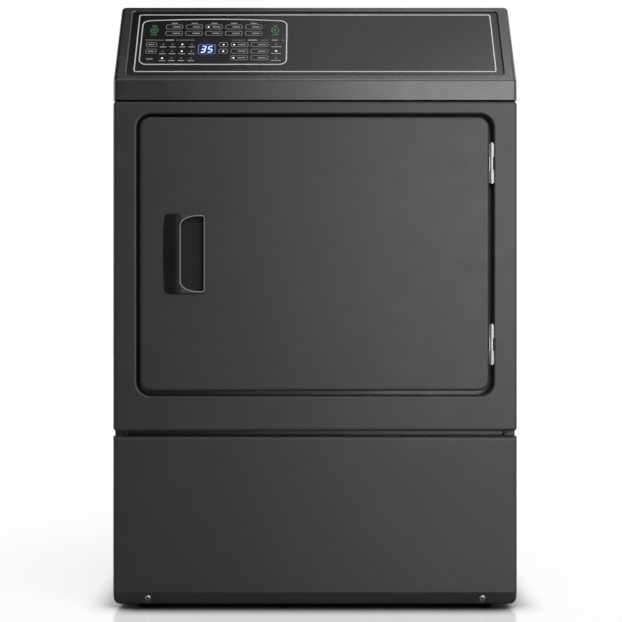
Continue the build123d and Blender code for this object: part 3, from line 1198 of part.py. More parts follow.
def scroll(clear):
    """Scroll outline of the blower, opening clockwise to an outlet at the lower left, shrunk by a wall."""
    start = SCROLL_RADIUS - SCROLL_GROWTH
    steps = 2 * SCROLL_SPANS
    radii = [start + SCROLL_GROWTH * step / steps - clear for step in range(steps + 1)]
    rays = [(radius * cos(pi - step * pi / 4), radius * sin(pi - step * pi / 4))
            for step, radius in enumerate(radii)]
    top = rays[-1][1] + 2 * (DUCT_RADIUS - clear)
    outlet = -start - SCROLL_LEG
    arcs = [ThreePointArc(*rays[turn:turn + 3]) for turn in range(0, steps, 2)]
    rest = Polyline(rays[-1], (outlet, rays[-1][1]), (outlet, top), (rays[0][0], top), rays[0])
    return make_face([*arcs, *rest.edges()])


def blower_housing():
    """Scroll housing with a round inlet in front, a shaft hole behind and an open outlet."""
    shell = slab(scroll(0), MOTOR_X, MOTOR_Z, HOUSING_FRONT, HOUSING_REAR)
    shell -= slab(scroll(DUCT_WALL), MOTOR_X, MOTOR_Z, HOUSING_FRONT + DUCT_WALL, HOUSING_REAR - DUCT_WALL)
    shell -= slab(Circle(INLET_RADIUS), MOTOR_X, MOTOR_Z, HOUSING_FRONT, HOUSING_FRONT + DUCT_WALL)
    return shell - slab(Circle(HOUSING_HOLE), MOTOR_X, MOTOR_Z, HOUSING_REAR - DUCT_WALL, HOUSING_REAR)


def blower_wheel():
    """Squirrel-cage wheel: a back plate with a hub, curved blades and a front ring."""
    rear, front = WHEEL_REAR, WHEEL_REAR - BLOWER_DEPTH
    wheel = slab(Circle(BLOWER_RADIUS), MOTOR_X, MOTOR_Z, rear - BLADE, rear)
    wheel += tube(BLOWER_RADIUS, BLOWER_RADIUS - BLADE_CHORD, MOTOR_X, MOTOR_Z, front, front + BLADE)
    wheel += slab(Circle(WHEEL_HUB), MOTOR_X, MOTOR_Z, rear - WHEEL_HUB_LENGTH, rear)
    inner, outer = BLOWER_RADIUS - BLADE_CHORD + BLADE, BLOWER_RADIUS - BLADE
    middle = (inner + outer) / 2
    hollow = ThreePointArc((inner, 0), (middle, BLADE_CAMBER), (outer, 0))
    back = ThreePointArc((inner, BLADE), (middle, BLADE_CAMBER + BLADE), (outer, BLADE))
    blade = make_face([hollow, back, Line((inner, 0), (inner, BLADE)), Line((outer, 0), (outer, BLADE))])
    for step in range(BLOWER_BLADES):
        wheel += slab(Rotation(0, 0, 360 * step / BLOWER_BLADES) * blade, MOTOR_X, MOTOR_Z, front + BLADE / 2,
                      rear - BLADE / 2)
    return wheel - slab(Circle(MOTOR_SHAFT), MOTOR_X, MOTOR_Z, front, rear)


def lint_duct():
    """Flat funnel that holds the lint filter and leads the air down to the blower."""
    front, rear = BULKHEAD_FRONT + BULKHEAD, COLLAR_PLATE
    top = SILL_Z - BULKHEAD
    side = FILTER_WIDTH / 2 + FILTER_GAP
    low = top - FILTER_HEIGHT

    def funnel(wall):
        upper = Pos(0, (top + low) / 2) * Rectangle(2 * (side + wall), top - low)
        lower = Pos(MOTOR_X, MOTOR_Z) * Circle(INLET_RADIUS + FUNNEL_MARGIN + wall)
        return make_face(make_hull([*upper.edges(), *lower.edges()]).edges())

    duct = slab(funnel(DUCT_WALL), 0, 0, front, rear)
    duct -= slab(funnel(0), 0, 0, front + DUCT_WALL, rear - DUCT_WALL)
    duct -= block(-side, side, front + DUCT_WALL, rear - DUCT_WALL, low, top)
    for x0, x1 in ((-side, FILTER_STOP - side), (side - FILTER_STOP, side)):
        duct += block(x0, x1, front, rear, low - FILTER_BAR, low)
    duct -= slab(Circle(INLET_RADIUS), MOTOR_X, MOTOR_Z, rear - DUCT_WALL, rear)
    return duct - slab(Rectangle(VENT_LENGTH, VENT_ROWS * VENT_PITCH), 0, VENT_Z, rear - DUCT_WALL, rear)


def lint_filter_frame():
    """Filter frame with two windows and a finger grip above the sill."""
    outline = Rectangle(FILTER_WIDTH, FILTER_HEIGHT)
    windows = [Pos(x, 0) * Rectangle(FILTER_WINDOW_WIDTH, FILTER_WINDOW_HEIGHT)
               for x in (-FILTER_WINDOW_X, FILTER_WINDOW_X)]
    grip = Pos(0, FILTER_HEIGHT / 2) * RectangleRounded(GRIP_BAR, 2 * GRIP_BAR_RISE, GRIP_BAR_CORNER)
    depth, thin = FILTER_THICKNESS / 2, GRIP_BAR_THICKNESS / 2
    frame = slab(outline - windows, 0, FILTER_Z, FILTER_Y - depth, FILTER_Y + depth)
    return frame + slab(grip - outline, 0, FILTER_Z, FILTER_Y - thin, FILTER_Y + thin)


def lint_filter_mesh():
    """Fine mesh in the windows of the filter frame."""
    pane = Rectangle(FILTER_WINDOW_WIDTH, FILTER_WINDOW_HEIGHT)
    return [slab(pane, x, FILTER_Z, FILTER_Y - FILTER_MESH / 2, FILTER_Y + FILTER_MESH / 2)
            for x in (-FILTER_WINDOW_X, FILTER_WINDOW_X)]


def exhaust_duct():
    """Boot from the scroll's outlet: a flat duct with a round end that turns the air into the rear pipe."""

    def run(wall):
        radius = DUCT_RADIUS - wall
        leg = Pos(BOOT_RUN / 2, 0) * Rectangle(BOOT_RUN, 2 * radius)
        return slab(Circle(radius) + leg, PIPE_X, PIPE_Z, HOUSING_FRONT + wall, HOUSING_REAR - wall)

    hole = slab(Circle(DUCT_RADIUS - DUCT_WALL), PIPE_X, PIPE_Z, HOUSING_REAR - DUCT_WALL, HOUSING_REAR)
    return run(0) - run(DUCT_WALL) - hole


def exhaust_pipe():
    """Straight pipe to the rear, stepped down to the hose stub outside the rear panel."""

    def run(wall):
        radius = DUCT_RADIUS - wall
        pipe = slab(Circle(radius), PIPE_X, PIPE_Z, HOUSING_REAR, CABINET_DEPTH - wall)
        return pipe + slab(Circle(radius - PIPE_STEP), PIPE_X, PIPE_Z, CABINET_DEPTH - wall,
                           CABINET_DEPTH + EXHAUST_PROUD)

    return run(0) - run(PIPE_WALL)


def terminal_block():
    """Mains terminal block on the inside of the rear panel, with three studs facing out."""
    seat = REAR_INSIDE
    plate = Rectangle(TERMINAL_WIDTH + 2 * TERMINAL_EAR, TERMINAL_BLOCK)
    core = Rectangle(TERMINAL_WIDTH - 2 * TERMINAL_EAR, TERMINAL_BLOCK)
    body = slab(plate, TERMINAL_X, TERMINAL_BLOCK_Z, seat - TERMINAL_PLATE, seat)
    body += slab(core, TERMINAL_X, TERMINAL_BLOCK_Z, seat - TERMINAL_DEPTH, seat)
    for step in (-1, 0, 1):
        body += slab(Circle(TERMINAL_STUD), TERMINAL_X + step * TERMINAL_PITCH, TERMINAL_BLOCK_Z,
                     seat - TERMINAL_PLATE, seat + TERMINAL_STUD)
    return body


def terminal_cover():
    """Cover over the terminals, with a raised pan and a round hole where a mains lead would enter."""
    outline = RectangleRounded(TERMINAL_WIDTH + 2 * COVER_LAP, TERMINAL_HEIGHT + 2 * COVER_LAP, COVER_CORNER)
    cover = slab(outline, TERMINAL_X, TERMINAL_Z, CABINET_DEPTH, CABINET_DEPTH + SHEET)

    def raised(wall):
        wide, tall = TERMINAL_WIDTH - 2 * (COVER_LAP + wall), TERMINAL_BLOCK + 2 * (COVER_LAP - wall)
        pan = RectangleRounded(wide, tall, COVER_CORNER - wall)
        return slab(pan, TERMINAL_X, TERMINAL_BLOCK_Z, CABINET_DEPTH, CABINET_DEPTH + COVER_RISE - wall)

    hole = slab(Circle(CORD_HOLE), TERMINAL_X, CORD_Z, CABINET_DEPTH, CABINET_DEPTH + SHEET)
    return cover + raised(0) - raised(SHEET) - hole


def water_valve():
    """Water inlet valve for the steam spray: coil and body inside, hose stub outside."""
    rear = CABINET_DEPTH + VALVE_STUB
    body = slab(Circle(VALVE_NECK), VALVE_X, VALVE_Z, CABINET_DEPTH, rear)
    body += slab(Circle(VALVE_NECK + VALVE_STEP), VALVE_X, VALVE_Z, REAR_INSIDE - VALVE_DEPTH, CABINET_DEPTH)
    body += slab(Circle(VALVE_FLANGE), VALVE_X, VALVE_Z, REAR_INSIDE - VALVE_FLANGE_THICKNESS, REAR_INSIDE)
    coil = Cylinder(COIL_RADIUS, COIL_HEIGHT)
    body += Pos(VALVE_X, REAR_INSIDE - COIL_SETBACK, VALVE_Z + VALVE_NECK) * coil
    return body - slab(Circle(VALVE_BORE), VALVE_X, VALVE_Z, rear - VALVE_BORE_DEPTH, rear)


def moisture_bars():
    """Two metal sensing bars on the drum side of the bulkhead, under the loading throat."""
    bar = RectangleRounded(BAR_LENGTH, BAR_HEIGHT, BAR_CORNER)
    return [slab(bar, 0, SILL_Z - BULKHEAD - step * BAR_PITCH, BULKHEAD_REAR, BULKHEAD_REAR + BULKHEAD)
            for step in (1, 2)]


def write(name, shape):
    """Write one node, moved so that the origin lies under the middle of the whole box."""
    solids = shape if isinstance(shape, list) else [shape]
    moved = [Pos(0, FRONT_Y, 0) * solid for solid in solids]
    export_step(moved[0] if len(moved) == 1 else Compound(moved), f"parts/{name}.step")


os.makedirs("parts", exist_ok=True)
for piece in (control_hood, control_overlay, display_window, control_board, top_panel, front_panel,
              lower_front_panel, lower_panel_screws, left_side_panel, right_side_panel, rear_panel, base_pan,
              door_outer_panel, door_inner_panel, door_gasket, door_handle, door_strike, hinge_door_leaves,
              hinge_frame_leaves, hinge_pins, door_catch, door_switch_body, door_switch_plunger,
              front_bulkhead, front_collar, front_drum_seal, drum_glides, moisture_bars, drum_shell,
              drum_baffles, rear_bulkhead, rear_drum_seal, heater_box, heater_element, thermostats,
              roller_shafts, motor_body, motor_mount, motor_shaft, motor_pulley, drive_belt, idler_pulley,
              idler_arm, idler_post, blower_housing, blower_wheel, lint_duct, lint_filter_frame,
              lint_filter_mesh, exhaust_duct, exhaust_pipe, terminal_block, terminal_cover, water_valve):
    write(piece.__name__, piece())
for name, (x, z) in zip(("left_roller", "right_roller"), roller_places()):
    write(name, drum_roller(x, z))
for name, (x, y) in zip(("front_left_foot", "front_right_foot", "rear_left_foot", "rear_right_foot"),
                        foot_places()):
    write(name, levelling_foot(x, y))
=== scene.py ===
import json
from math import cos, pi, radians, sin

import bmesh
import bpy
from mathutils import Matrix, Vector


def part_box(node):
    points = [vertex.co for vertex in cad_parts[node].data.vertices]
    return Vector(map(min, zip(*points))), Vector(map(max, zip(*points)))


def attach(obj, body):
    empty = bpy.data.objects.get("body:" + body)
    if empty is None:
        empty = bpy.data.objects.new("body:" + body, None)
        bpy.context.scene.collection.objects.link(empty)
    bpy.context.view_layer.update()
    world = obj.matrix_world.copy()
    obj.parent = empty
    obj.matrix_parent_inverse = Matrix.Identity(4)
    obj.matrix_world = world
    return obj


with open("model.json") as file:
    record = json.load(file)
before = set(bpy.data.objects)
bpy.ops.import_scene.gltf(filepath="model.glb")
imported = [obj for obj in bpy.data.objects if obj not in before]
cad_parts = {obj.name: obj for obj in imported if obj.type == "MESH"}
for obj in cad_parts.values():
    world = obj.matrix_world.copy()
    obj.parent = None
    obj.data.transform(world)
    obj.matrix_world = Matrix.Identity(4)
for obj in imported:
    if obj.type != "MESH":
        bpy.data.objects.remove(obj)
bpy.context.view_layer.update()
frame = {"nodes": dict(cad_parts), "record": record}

# A graphite clothes dryer with its controls in a sloping hood. Metres, +Z up, the front faces -Y.
# Sizes below are in millimetres and are turned to metres where meshes are made.
MM = 0.001

# Camera of the photograph: level, square to the front
EYE_DISTANCE = 2286.0  # in front of the front plane
EYE_HEIGHT = 503.3
EYE_X = -6.8
LENS = 78.34
SENSOR = 36.0
VIEW_REACH = 100000.0

# Control panel graphics: x from the middle of the cabinet, v up the slope from the slope's lower edge
OVERLAY_LOW = 13.0  # v of the overlay's lower edge
INK = 0.06  # height of the printed ink
BORDER = (-309.0, 309.0, 22.2, 164.8)  # left, right, low, high of the outer printed line
BORDER_LINE = 2.0
BORDER_CORNER = 4.5
CLUSTER = (-302.0, -48.0, 39.6, 150.1)
CLUSTER_BOW = 3.6  # rise of the cluster's upper edge at its middle
BOW_STEPS = 12
HAIR = 1e-6  # allowance for rounding
CLUSTER_CORNER = 13.0
KEY_LINE = 0.9
KEY_SIZE = (29.4, 11.2)
KEY_CORNER = 3.0
KEY_PITCH = 34.6
ROW_PITCH = 16.2
KEY_RISE = 0.4  # embossing of the membrane keys
PROGRAM_KEY = (-245.2, 133.0)  # middle of the upper left key of the programme block
PROGRAM_GRID = (5, 2)  # columns and rows
OPTION_KEY = (-130.0, 88.6)
OPTION_GRID = (2, 3)
ADJUST_KEY = (-157.9, 88.6)
ADJUST_GRID = (1, 2)
ADJUST_SIZE = (15.3, 11.2)
LEVEL_KEY = (-282.4, 88.6)
LEVEL_GRID = (1, 2)
LEVEL_SIZE = (18.8, 11.2)
LAMP = 1.6  # radius of an indicator
LAMP_DOME = 0.1  # height of a lens over its radius
LAMP_LINE = 0.7  # printed ring of an unlit one
LAMP_INSET = 5.0  # from a key's left side
LAMP_COLUMN = 16.5
LAMP_ROW = 16.8
LAMP_FIRST = (-262.3, 89.6)
LAMP_GRID = (4, 3)
STATUS_FIRST = (-66.8, 90.0)
LIT_LEVELS = (2, 6, 8)  # lit indicators and keys, counted along the rows from the upper left
LIT_STATUS = (1,)
LIT_KEYS = (2, 10, 14)
POWER = (-280.0, 124.2)
START = (-69.0, 124.2)
RING = 7.0
RING_LINE = 1.3
RING_STEPS = 28
RING_GAP = 4.0  # from a ring to the middle of the bar above or below it
RING_UPPER = (8.5, 2.0)  # width and height of a bar
RING_LOWER = (11.0, 2.0)
POWER_MARK = 3.2  # radius of the small ring
POWER_LINE = 1.0
START_MARK = (2.4, 3.2, 2.8)  # triangle: behind, before and beside its middle
KEY_SHARE = 0.46  # a bar's share of a key's width
LEVEL_SHARE = 0.6
BAR_INSET = 4.0  # from a key's right side
BAR_TALL = 2.6
BAR_DROP = 6.2  # below the middle of an indicator
BAR_LIFT = 9.4  # above the middle of a programme key
BAR_ROUND = 0.45  # corner over the lesser side
LAMP_BAR = (11.5, 2.2)
KEY_BAR = (11.0, 2.4)
STATUS_BARS = (19.0, 18.0, 17.0)  # widths
STATUS_TALL = 2.0
RULE_BARS = ((-251.5, 15.5, 3.0), (-108.0, 17.0, 3.0), (-69.5, 11.0, 2.6))  # x, width, height
LEVEL_BAR = (-284.0, 53.6, 12.0, 2.4)  # x, v, width, height
RULE_V = 100.2
RULE_HALF = 0.5  # half the height of a rule
RULE_CORNER = 0.3
RULES = ((-294.0, -262.0), (-241.0, -209.0), (-144.0, -121.0), (-95.0, -81.0), (-58.0, -54.0))
DISPLAY = (-186.5, 77.6)  # middle of the window
DISPLAY_SIZE = (29.8, 23.8)
DISPLAY_CORNER = 2.6
DISPLAY_LINE = 1.0
DIGIT = (9.6, 17.4)
DIGIT_PITCH = 12.0
DIGIT_STROKE = 2.5
DIGIT_LEAN = 0.17
DIGIT_FIT = (0.93, 0.97)  # keeps neighbouring segments apart
DIGITS = "35"
LIT_BARS = ("abcdef", "bc", "abdeg", "abcdg", "bcfg", "acdfg", "acdefg", "abc", "abcdefg", "abcdfg")  # 0 to 9

# Handle: finger pocket about the handle's middle, as in the part's source
POCKET_LEFT = -7.3  # straight side beside the grip
POCKET_RIGHT = 33.3
POCKET_HALF = 64.5
POCKET_EASE = (31.0, 17.0)  # long corners beside the grip
POCKET_CORNER = 4.0
HANDLE_SIDE = 36.3
GRIP_PROUD = 8.0
GRIP_EDGE = 2.0  # the level crest runs on past the pocket's side
RIM_PROUD = 2.0
HIGHLIGHT_BEAD = 1.5  # radius of the pale bead in the pocket's mouth, a painted highlight of its rounded edge
BEAD_STEPS = 14
BEAD_SIDES = 10

# Toe screws and the back
TOE_NORMAL = (0.0, -22.0, -9.0)  # way that the toe faces
CROSS = (4.4, 1.0)  # length and width of an arm
HEAD_FLAT = 0.02  # depth under a head's top that counts as its face
LOUVRE_X = 67.5  # middle of a column of louvres, on both sides
LOUVRE_Z = 890.0  # middle of the columns
LOUVRE_ROWS = 9
LOUVRE_PITCH = 15.0
LOUVRE_HALF = 46.0
LOUVRE_RISE = 3.4
LOUVRE_TALL = 6.5
REAR_SCREW = 4.0  # radius of the head
REAR_SCREW_HEAD = 2.6
REAR_SCREW_X = 331.0
REAR_SCREW_Z = (48.0, 270.0, 520.0, 770.0, 985.0)
REAR_SCREW_TOP = (-220.0, 0.0, 220.0)

# Studio
FILL_LIGHT = 0.22  # strength of the white surroundings for dull faces
FLOOR_GLOW = 0.49  # whitens the open floor for the camera alone
FLOOR_REACH = 12000.0
PAINTED_SHADOW_REACH = 60.0  # reach of the painted contact shadow where the machine stands
OPEN_FLOOR = (0.5, 0.95)  # share of open sky at which the floor is dark with painted shadow, and white
FRONT_FLAG = (-5000.0, -300.0, 0.0, 4000.0)  # left, right, low, high
FRONT_FLAG_Y = -3300.0
TOP_FLAG = (-5000.0, -200.0, -800.0, 3000.0)  # left, right, front, back
TOP_FLAG_Z = 3400.0


def srgb(text):
    """Linear colour of an sRGB hex value."""
    parts = [int(text[place:place + 2], 16) / 255 for place in (1, 3, 5)]
    return tuple(c / 12.92 if c <= 0.04045 else ((c + 0.055) / 1.055) ** 2.4 for c in parts) + (1.0,)


def add(tree, kind, sockets=None, to=None, **settings):
    """Add a node with its settings and links.

    A socket takes a number, a colour or another node's output, and the first output may feed a socket.
    """
    new = tree.nodes.new(kind)
    for name, value in settings.items():
        setattr(new, name, value)
    for key, value in (sockets or {}).items():
        if isinstance(value, bpy.types.NodeSocket):
            tree.links.new(value, new.inputs[key])
        else:
            new.inputs[key].default_value = value
    if to is not None:
        tree.links.new(new.outputs[0], to)
    return new


def principled(name, **values):
    """New Principled material; returns it, its tree and its shader's sockets."""
    material = bpy.data.materials.new(name)
    material.use_nodes = True
    tree = material.node_tree
    look = tree.nodes["Principled BSDF"].inputs
    for socket, value in values.items():
        look[socket.replace("_", " ")].default_value = value
    return material, tree, look


def surface(name, **values):
    """New Principled material with a pattern to come; returns the place on the object as well."""
    material, tree, look = principled(name, **values)
    return material, tree, look, add(tree, "ShaderNodeTexCoord").outputs["Object"]


def lumps(size_mm):
    """Scale of a texture whose lumps are about size_mm across."""
    return 1 / (size_mm * MM)


def drive(tree, socket, source, low, high, start=0.3, end=0.7):
    """Let a pattern carry a socket from low to high, two numbers or two colours.

    Only the pattern's range from start to end counts; noise seldom leaves 0.3 to 0.7.
    """
    share = add(tree, "ShaderNodeMapRange", {"Value": source, "From Min": start, "From Max": end})
    kind = "FLOAT" if isinstance(low, float) else "RGBA"
    mix = add(tree, "ShaderNodeMix", {"Factor": share.outputs["Result"], "A": low, "B": high}, data_type=kind)
    tree.links.new(mix.outputs["Result"], socket)


def powder_paint(name, dark, light, roughness, gloss):
    """Baked powder paint on steel: a satin graphite with a faint orange peel."""
    material, tree, look, place = surface(name, IOR=1.5, Specular_IOR_Level=gloss)
    cloud = add(tree, "ShaderNodeTexNoise", {"Vector": place, "Scale": lumps(160.0), "Detail": 3.0})
    drive(tree, look["Base Color"], cloud.outputs["Fac"], srgb(dark), srgb(light))
    wear = add(tree, "ShaderNodeTexNoise", {"Vector": place, "Scale": lumps(35.0), "Detail": 4.0})
    drive(tree, look["Roughness"], wear.outputs["Fac"], roughness - 0.03, roughness + 0.03)
    peel = add(tree, "ShaderNodeTexNoise", {"Vector": place, "Scale": lumps(2.2), "Detail": 1.0})
    add(tree, "ShaderNodeBump", {"Height": peel.outputs["Fac"], "Distance": 0.02 * MM, "Strength": 0.35},
        look["Normal"])
    return material


def moulded_plastic(name, dark, light, roughness, grit_mm=0.9, relief_mm=0.03, gloss=0.5):
    """Moulded plastic with a fine spark-eroded grain: a soft sheen, no mirror."""
    material, tree, look, place = surface(name, IOR=1.53, Specular_IOR_Level=gloss)
    cloud = add(tree, "ShaderNodeTexNoise", {"Vector": place, "Scale": lumps(40.0), "Detail": 3.0})
    drive(tree, look["Base Color"], cloud.outputs["Fac"], srgb(dark), srgb(light))
    grit = add(tree, "ShaderNodeTexNoise", {"Vector": place, "Scale": lumps(grit_mm), "Detail": 2.0})
    drive(tree, look["Roughness"], grit.outputs["Fac"], roughness - 0.05, roughness + 0.05)
    add(tree, "ShaderNodeBump", {"Height": grit.outputs["Fac"], "Distance": relief_mm * MM, "Strength": 0.6},
        look["Normal"])
    return material


def backlight_and_halo(tree, look, place, middle, reach_mm, near, far):
    """Blue emission round a point, which fades from near to far over a distance: the display's backlight, and
    the film's painted halo.
    """
    look["Emission Color"].default_value = srgb("#2450b4")
    away = add(tree, "ShaderNodeVectorMath", {0: place, 1: middle}, operation="DISTANCE")
    fade = {"Value": away.outputs["Value"], "From Max": reach_mm * MM, "To Min": near, "To Max": far}
    add(tree, "ShaderNodeMapRange", fade, look["Emission Strength"], interpolation_type="SMOOTHSTEP")


def printed_film(name, window):
    """Back-printed polycarbonate film: deep black under a satin hard coat, with a painted blue glow round the
    display.
    """
    material, tree, look, place = surface(name, Specular_IOR_Level=0.0, Coat_Weight=1.0, Coat_Roughness=0.22)
    haze = add(tree, "ShaderNodeTexNoise", {"Vector": place, "Scale": lumps(60.0), "Detail": 3.0})
    drive(tree, look["Base Color"], haze.outputs["Fac"], srgb("#0b0a0b"), srgb("#100f10"))
    # painted glow: the black film itself gives off blue light round the display window, a halo of the display
    backlight_and_halo(tree, look, place, window, reach_mm=34.0, near=0.09, far=0.0)
    skin = add(tree, "ShaderNodeTexNoise", {"Vector": place, "Scale": lumps(1.2), "Detail": 1.0})
    add(tree, "ShaderNodeBump", {"Height": skin.outputs["Fac"], "Distance": 0.008 * MM, "Strength": 0.4},
        look["Normal"])
    return material


def backlit_window(name, middle):
    """Smoked acrylic lit blue from behind, most strongly behind the middle of the window."""
    material, tree, look, place = surface(name, IOR=1.49, Roughness=0.3, Specular_IOR_Level=0.0)
    smoke = add(tree, "ShaderNodeTexNoise", {"Vector": place, "Scale": lumps(6.0), "Detail": 1.0})
    drive(tree, look["Base Color"], smoke.outputs["Fac"], srgb("#0b1430"), srgb("#0e1938"))
    backlight_and_halo(tree, look, place, middle, reach_mm=17.0, near=0.55, far=0.16)
    return material


def ink(name, thin, full):
    """Screen-printed ink: nearly even, with the slight mottle of the mesh."""
    material, tree, look, place = surface(name, Roughness=0.55)
    mottle = add(tree, "ShaderNodeTexNoise", {"Vector": place, "Scale": lumps(0.8), "Detail": 2.0})
    drive(tree, look["Base Color"], mottle.outputs["Fac"], srgb(thin), srgb(full))
    return material


def lamp_glow(name, colour, strength):
    """Light through a diffuser behind the film: a little uneven, whiter in patches."""
    material, tree, look, place = surface(name, Roughness=0.4, Emission_Strength=strength)
    patch = add(tree, "ShaderNodeTexNoise", {"Vector": place, "Scale": lumps(3.0), "Detail": 1.0})
    for socket in ("Base Color", "Emission Color"):
        drive(tree, look[socket], patch.outputs["Fac"], srgb(colour), srgb("#ffffff"))
    return material


def plated_steel(name, dark, light, roughness):
    """Bright zinc plate: metal with fine drawing marks along its length."""
    material, tree, look, place = surface(name, Metallic=1.0)
    drawn = add(tree, "ShaderNodeMapping", {"Vector": place, "Scale": (1.0, 1.0, 0.08)}).outputs["Vector"]
    marks = add(tree, "ShaderNodeTexNoise", {"Vector": drawn, "Scale": lumps(0.7), "Detail": 3.0})
    drive(tree, look["Base Color"], marks.outputs["Fac"], srgb(dark), srgb(light))
    drive(tree, look["Roughness"], marks.outputs["Fac"], roughness - 0.06, roughness + 0.08)
    add(tree, "ShaderNodeBump", {"Height": marks.outputs["Fac"], "Distance": 0.01 * MM, "Strength": 0.3},
        look["Normal"])
    return material


def galvanised_sheet(name):
    """Hot-dipped zinc sheet: crystal spangles about 9 mm across, each with its own tilt of grey."""
    material, tree, look, place = surface(name, Metallic=0.85)
    cells = add(tree, "ShaderNodeTexVoronoi", {"Vector": place, "Scale": lumps(9.0)})
    flake = add(tree, "ShaderNodeSeparateColor", {"Color": cells.outputs["Color"]})
    drive(tree, look["Base Color"], flake.outputs["Red"], srgb("#96999b"), srgb("#abaeb0"), 0.0, 1.0)
    drive(tree, look["Roughness"], flake.outputs["Green"], 0.42, 0.52, 0.0, 1.0)
    dip = add(tree, "ShaderNodeTexNoise", {"Vector": place, "Scale": lumps(4.0), "Detail": 3.0})
    add(tree, "ShaderNodeBump", {"Height": dip.outputs["Fac"], "Distance": 0.02 * MM, "Strength": 0.3},
        look["Normal"])
    return material


def brushed_stainless(name):
    """Stainless drum sheet, brushed along its length: long fine scratches, a soft streak of light."""
    material, tree, look, place = surface(name, Metallic=1.0, Anisotropic=0.4)
    brushed = add(tree, "ShaderNodeMapping", {"Vector": place, "Scale": (1.0, 0.03, 1.0)}).outputs["Vector"]
    marks = add(tree, "ShaderNodeTexNoise", {"Vector": brushed, "Scale": lumps(1.0), "Detail": 4.0})
    drive(tree, look["Base Color"], marks.outputs["Fac"], srgb("#9a9b9b"), srgb("#c9caca"))
    drive(tree, look["Roughness"], marks.outputs["Fac"], 0.24, 0.4)
    add(tree, "ShaderNodeBump", {"Height": marks.outputs["Fac"], "Distance": 0.01 * MM, "Strength": 0.35},
        look["Normal"])
    return material


def enamel(name, dark, light):
    """Baked enamel: hard, glossy, with faint ripples."""
    material, tree, look, place = surface(name, IOR=1.52, Coat_Weight=0.3, Coat_Roughness=0.1)
    cloud = add(tree, "ShaderNodeTexNoise", {"Vector": place, "Scale": lumps(120.0), "Detail": 3.0})
    drive(tree, look["Base Color"], cloud.outputs["Fac"], srgb(dark), srgb(light))
    ripple = add(tree, "ShaderNodeTexNoise", {"Vector": place, "Scale": lumps(6.0), "Detail": 1.0})
    drive(tree, look["Roughness"], ripple.outputs["Fac"], 0.28, 0.36)
    add(tree, "ShaderNodeBump", {"Height": ripple.outputs["Fac"], "Distance": 0.03 * MM, "Strength": 0.3},
        look["Normal"])
    return material


def rubber(name, dark, light):
    """Moulded rubber: dull, with a dusty bloom."""
    material, tree, look, place = surface(name, IOR=1.5, Specular_IOR_Level=0.3)
    bloom = add(tree, "ShaderNodeTexNoise", {"Vector": place, "Scale": lumps(5.0), "Detail": 5.0})
    drive(tree, look["Base Color"], bloom.outputs["Fac"], srgb(dark), srgb(light))
    drive(tree, look["Roughness"], bloom.outputs["Fac"], 0.7, 0.9)
    skin = add(tree, "ShaderNodeTexNoise", {"Vector": place, "Scale": lumps(0.8), "Detail": 2.0})
    add(tree, "ShaderNodeBump", {"Height": skin.outputs["Fac"], "Distance": 0.04 * MM, "Strength": 0.5},
        look["Normal"])
    return material


def pressed_felt(name, dark, light, sheen):
    """Wool felt: matted fibres about 0.6 mm apart."""
    material, tree, look, place = surface(name, Roughness=0.95, Specular_IOR_Level=0.0, Sheen_Weight=sheen)
    fibre = add(tree, "ShaderNodeTexNoise", {"Vector": place, "Scale": lumps(0.6), "Detail": 6.0})
    drive(tree, look["Base Color"], fibre.outputs["Fac"], srgb(dark), srgb(light))
    add(tree, "ShaderNodeBump", {"Height": fibre.outputs["Fac"], "Distance": 0.2 * MM, "Strength": 0.8},
        look["Normal"])
    return material


def woven_net(name):
    """Nylon lint net: a plain weave, drawn at about 10 mm because its real 0.3 mm is too fine to show."""
    material, tree, look, place = surface(name, Roughness=0.7)
    bands = lumps(10.05) * 2 * pi / 20  # a wave texture turns 20 radians in each unit of its scale
    warp = add(tree, "ShaderNodeTexWave", {"Vector": place, "Scale": bands}, bands_direction="X")
    weft = add(tree, "ShaderNodeTexWave", {"Vector": place, "Scale": bands}, bands_direction="Z")
    both = {0: warp.outputs["Fac"], 1: weft.outputs["Fac"]}
    thread = add(tree, "ShaderNodeMath", both, operation="MAXIMUM").outputs["Value"]
    drive(tree, look["Base Color"], thread, srgb("#4a4a48"), srgb("#c8c7c2"), 0.4, 0.9)
    add(tree, "ShaderNodeBump", {"Height": thread, "Distance": 0.2 * MM, "Strength": 0.7}, look["Normal"])
    return material


def cast_metal(name, dark, light, roughness):
    """Die-cast or turned metal with a fine sandy skin."""
    material, tree, look, place = surface(name, Metallic=1.0)
    skin = add(tree, "ShaderNodeTexNoise", {"Vector": place, "Scale": lumps(1.4), "Detail": 3.0})
    drive(tree, look["Base Color"], skin.outputs["Fac"], srgb(dark), srgb(light))
    drive(tree, look["Roughness"], skin.outputs["Fac"], roughness - 0.06, roughness + 0.06)
    add(tree, "ShaderNodeBump", {"Height": skin.outputs["Fac"], "Distance": 0.04 * MM, "Strength": 0.5},
        look["Normal"])
    return material


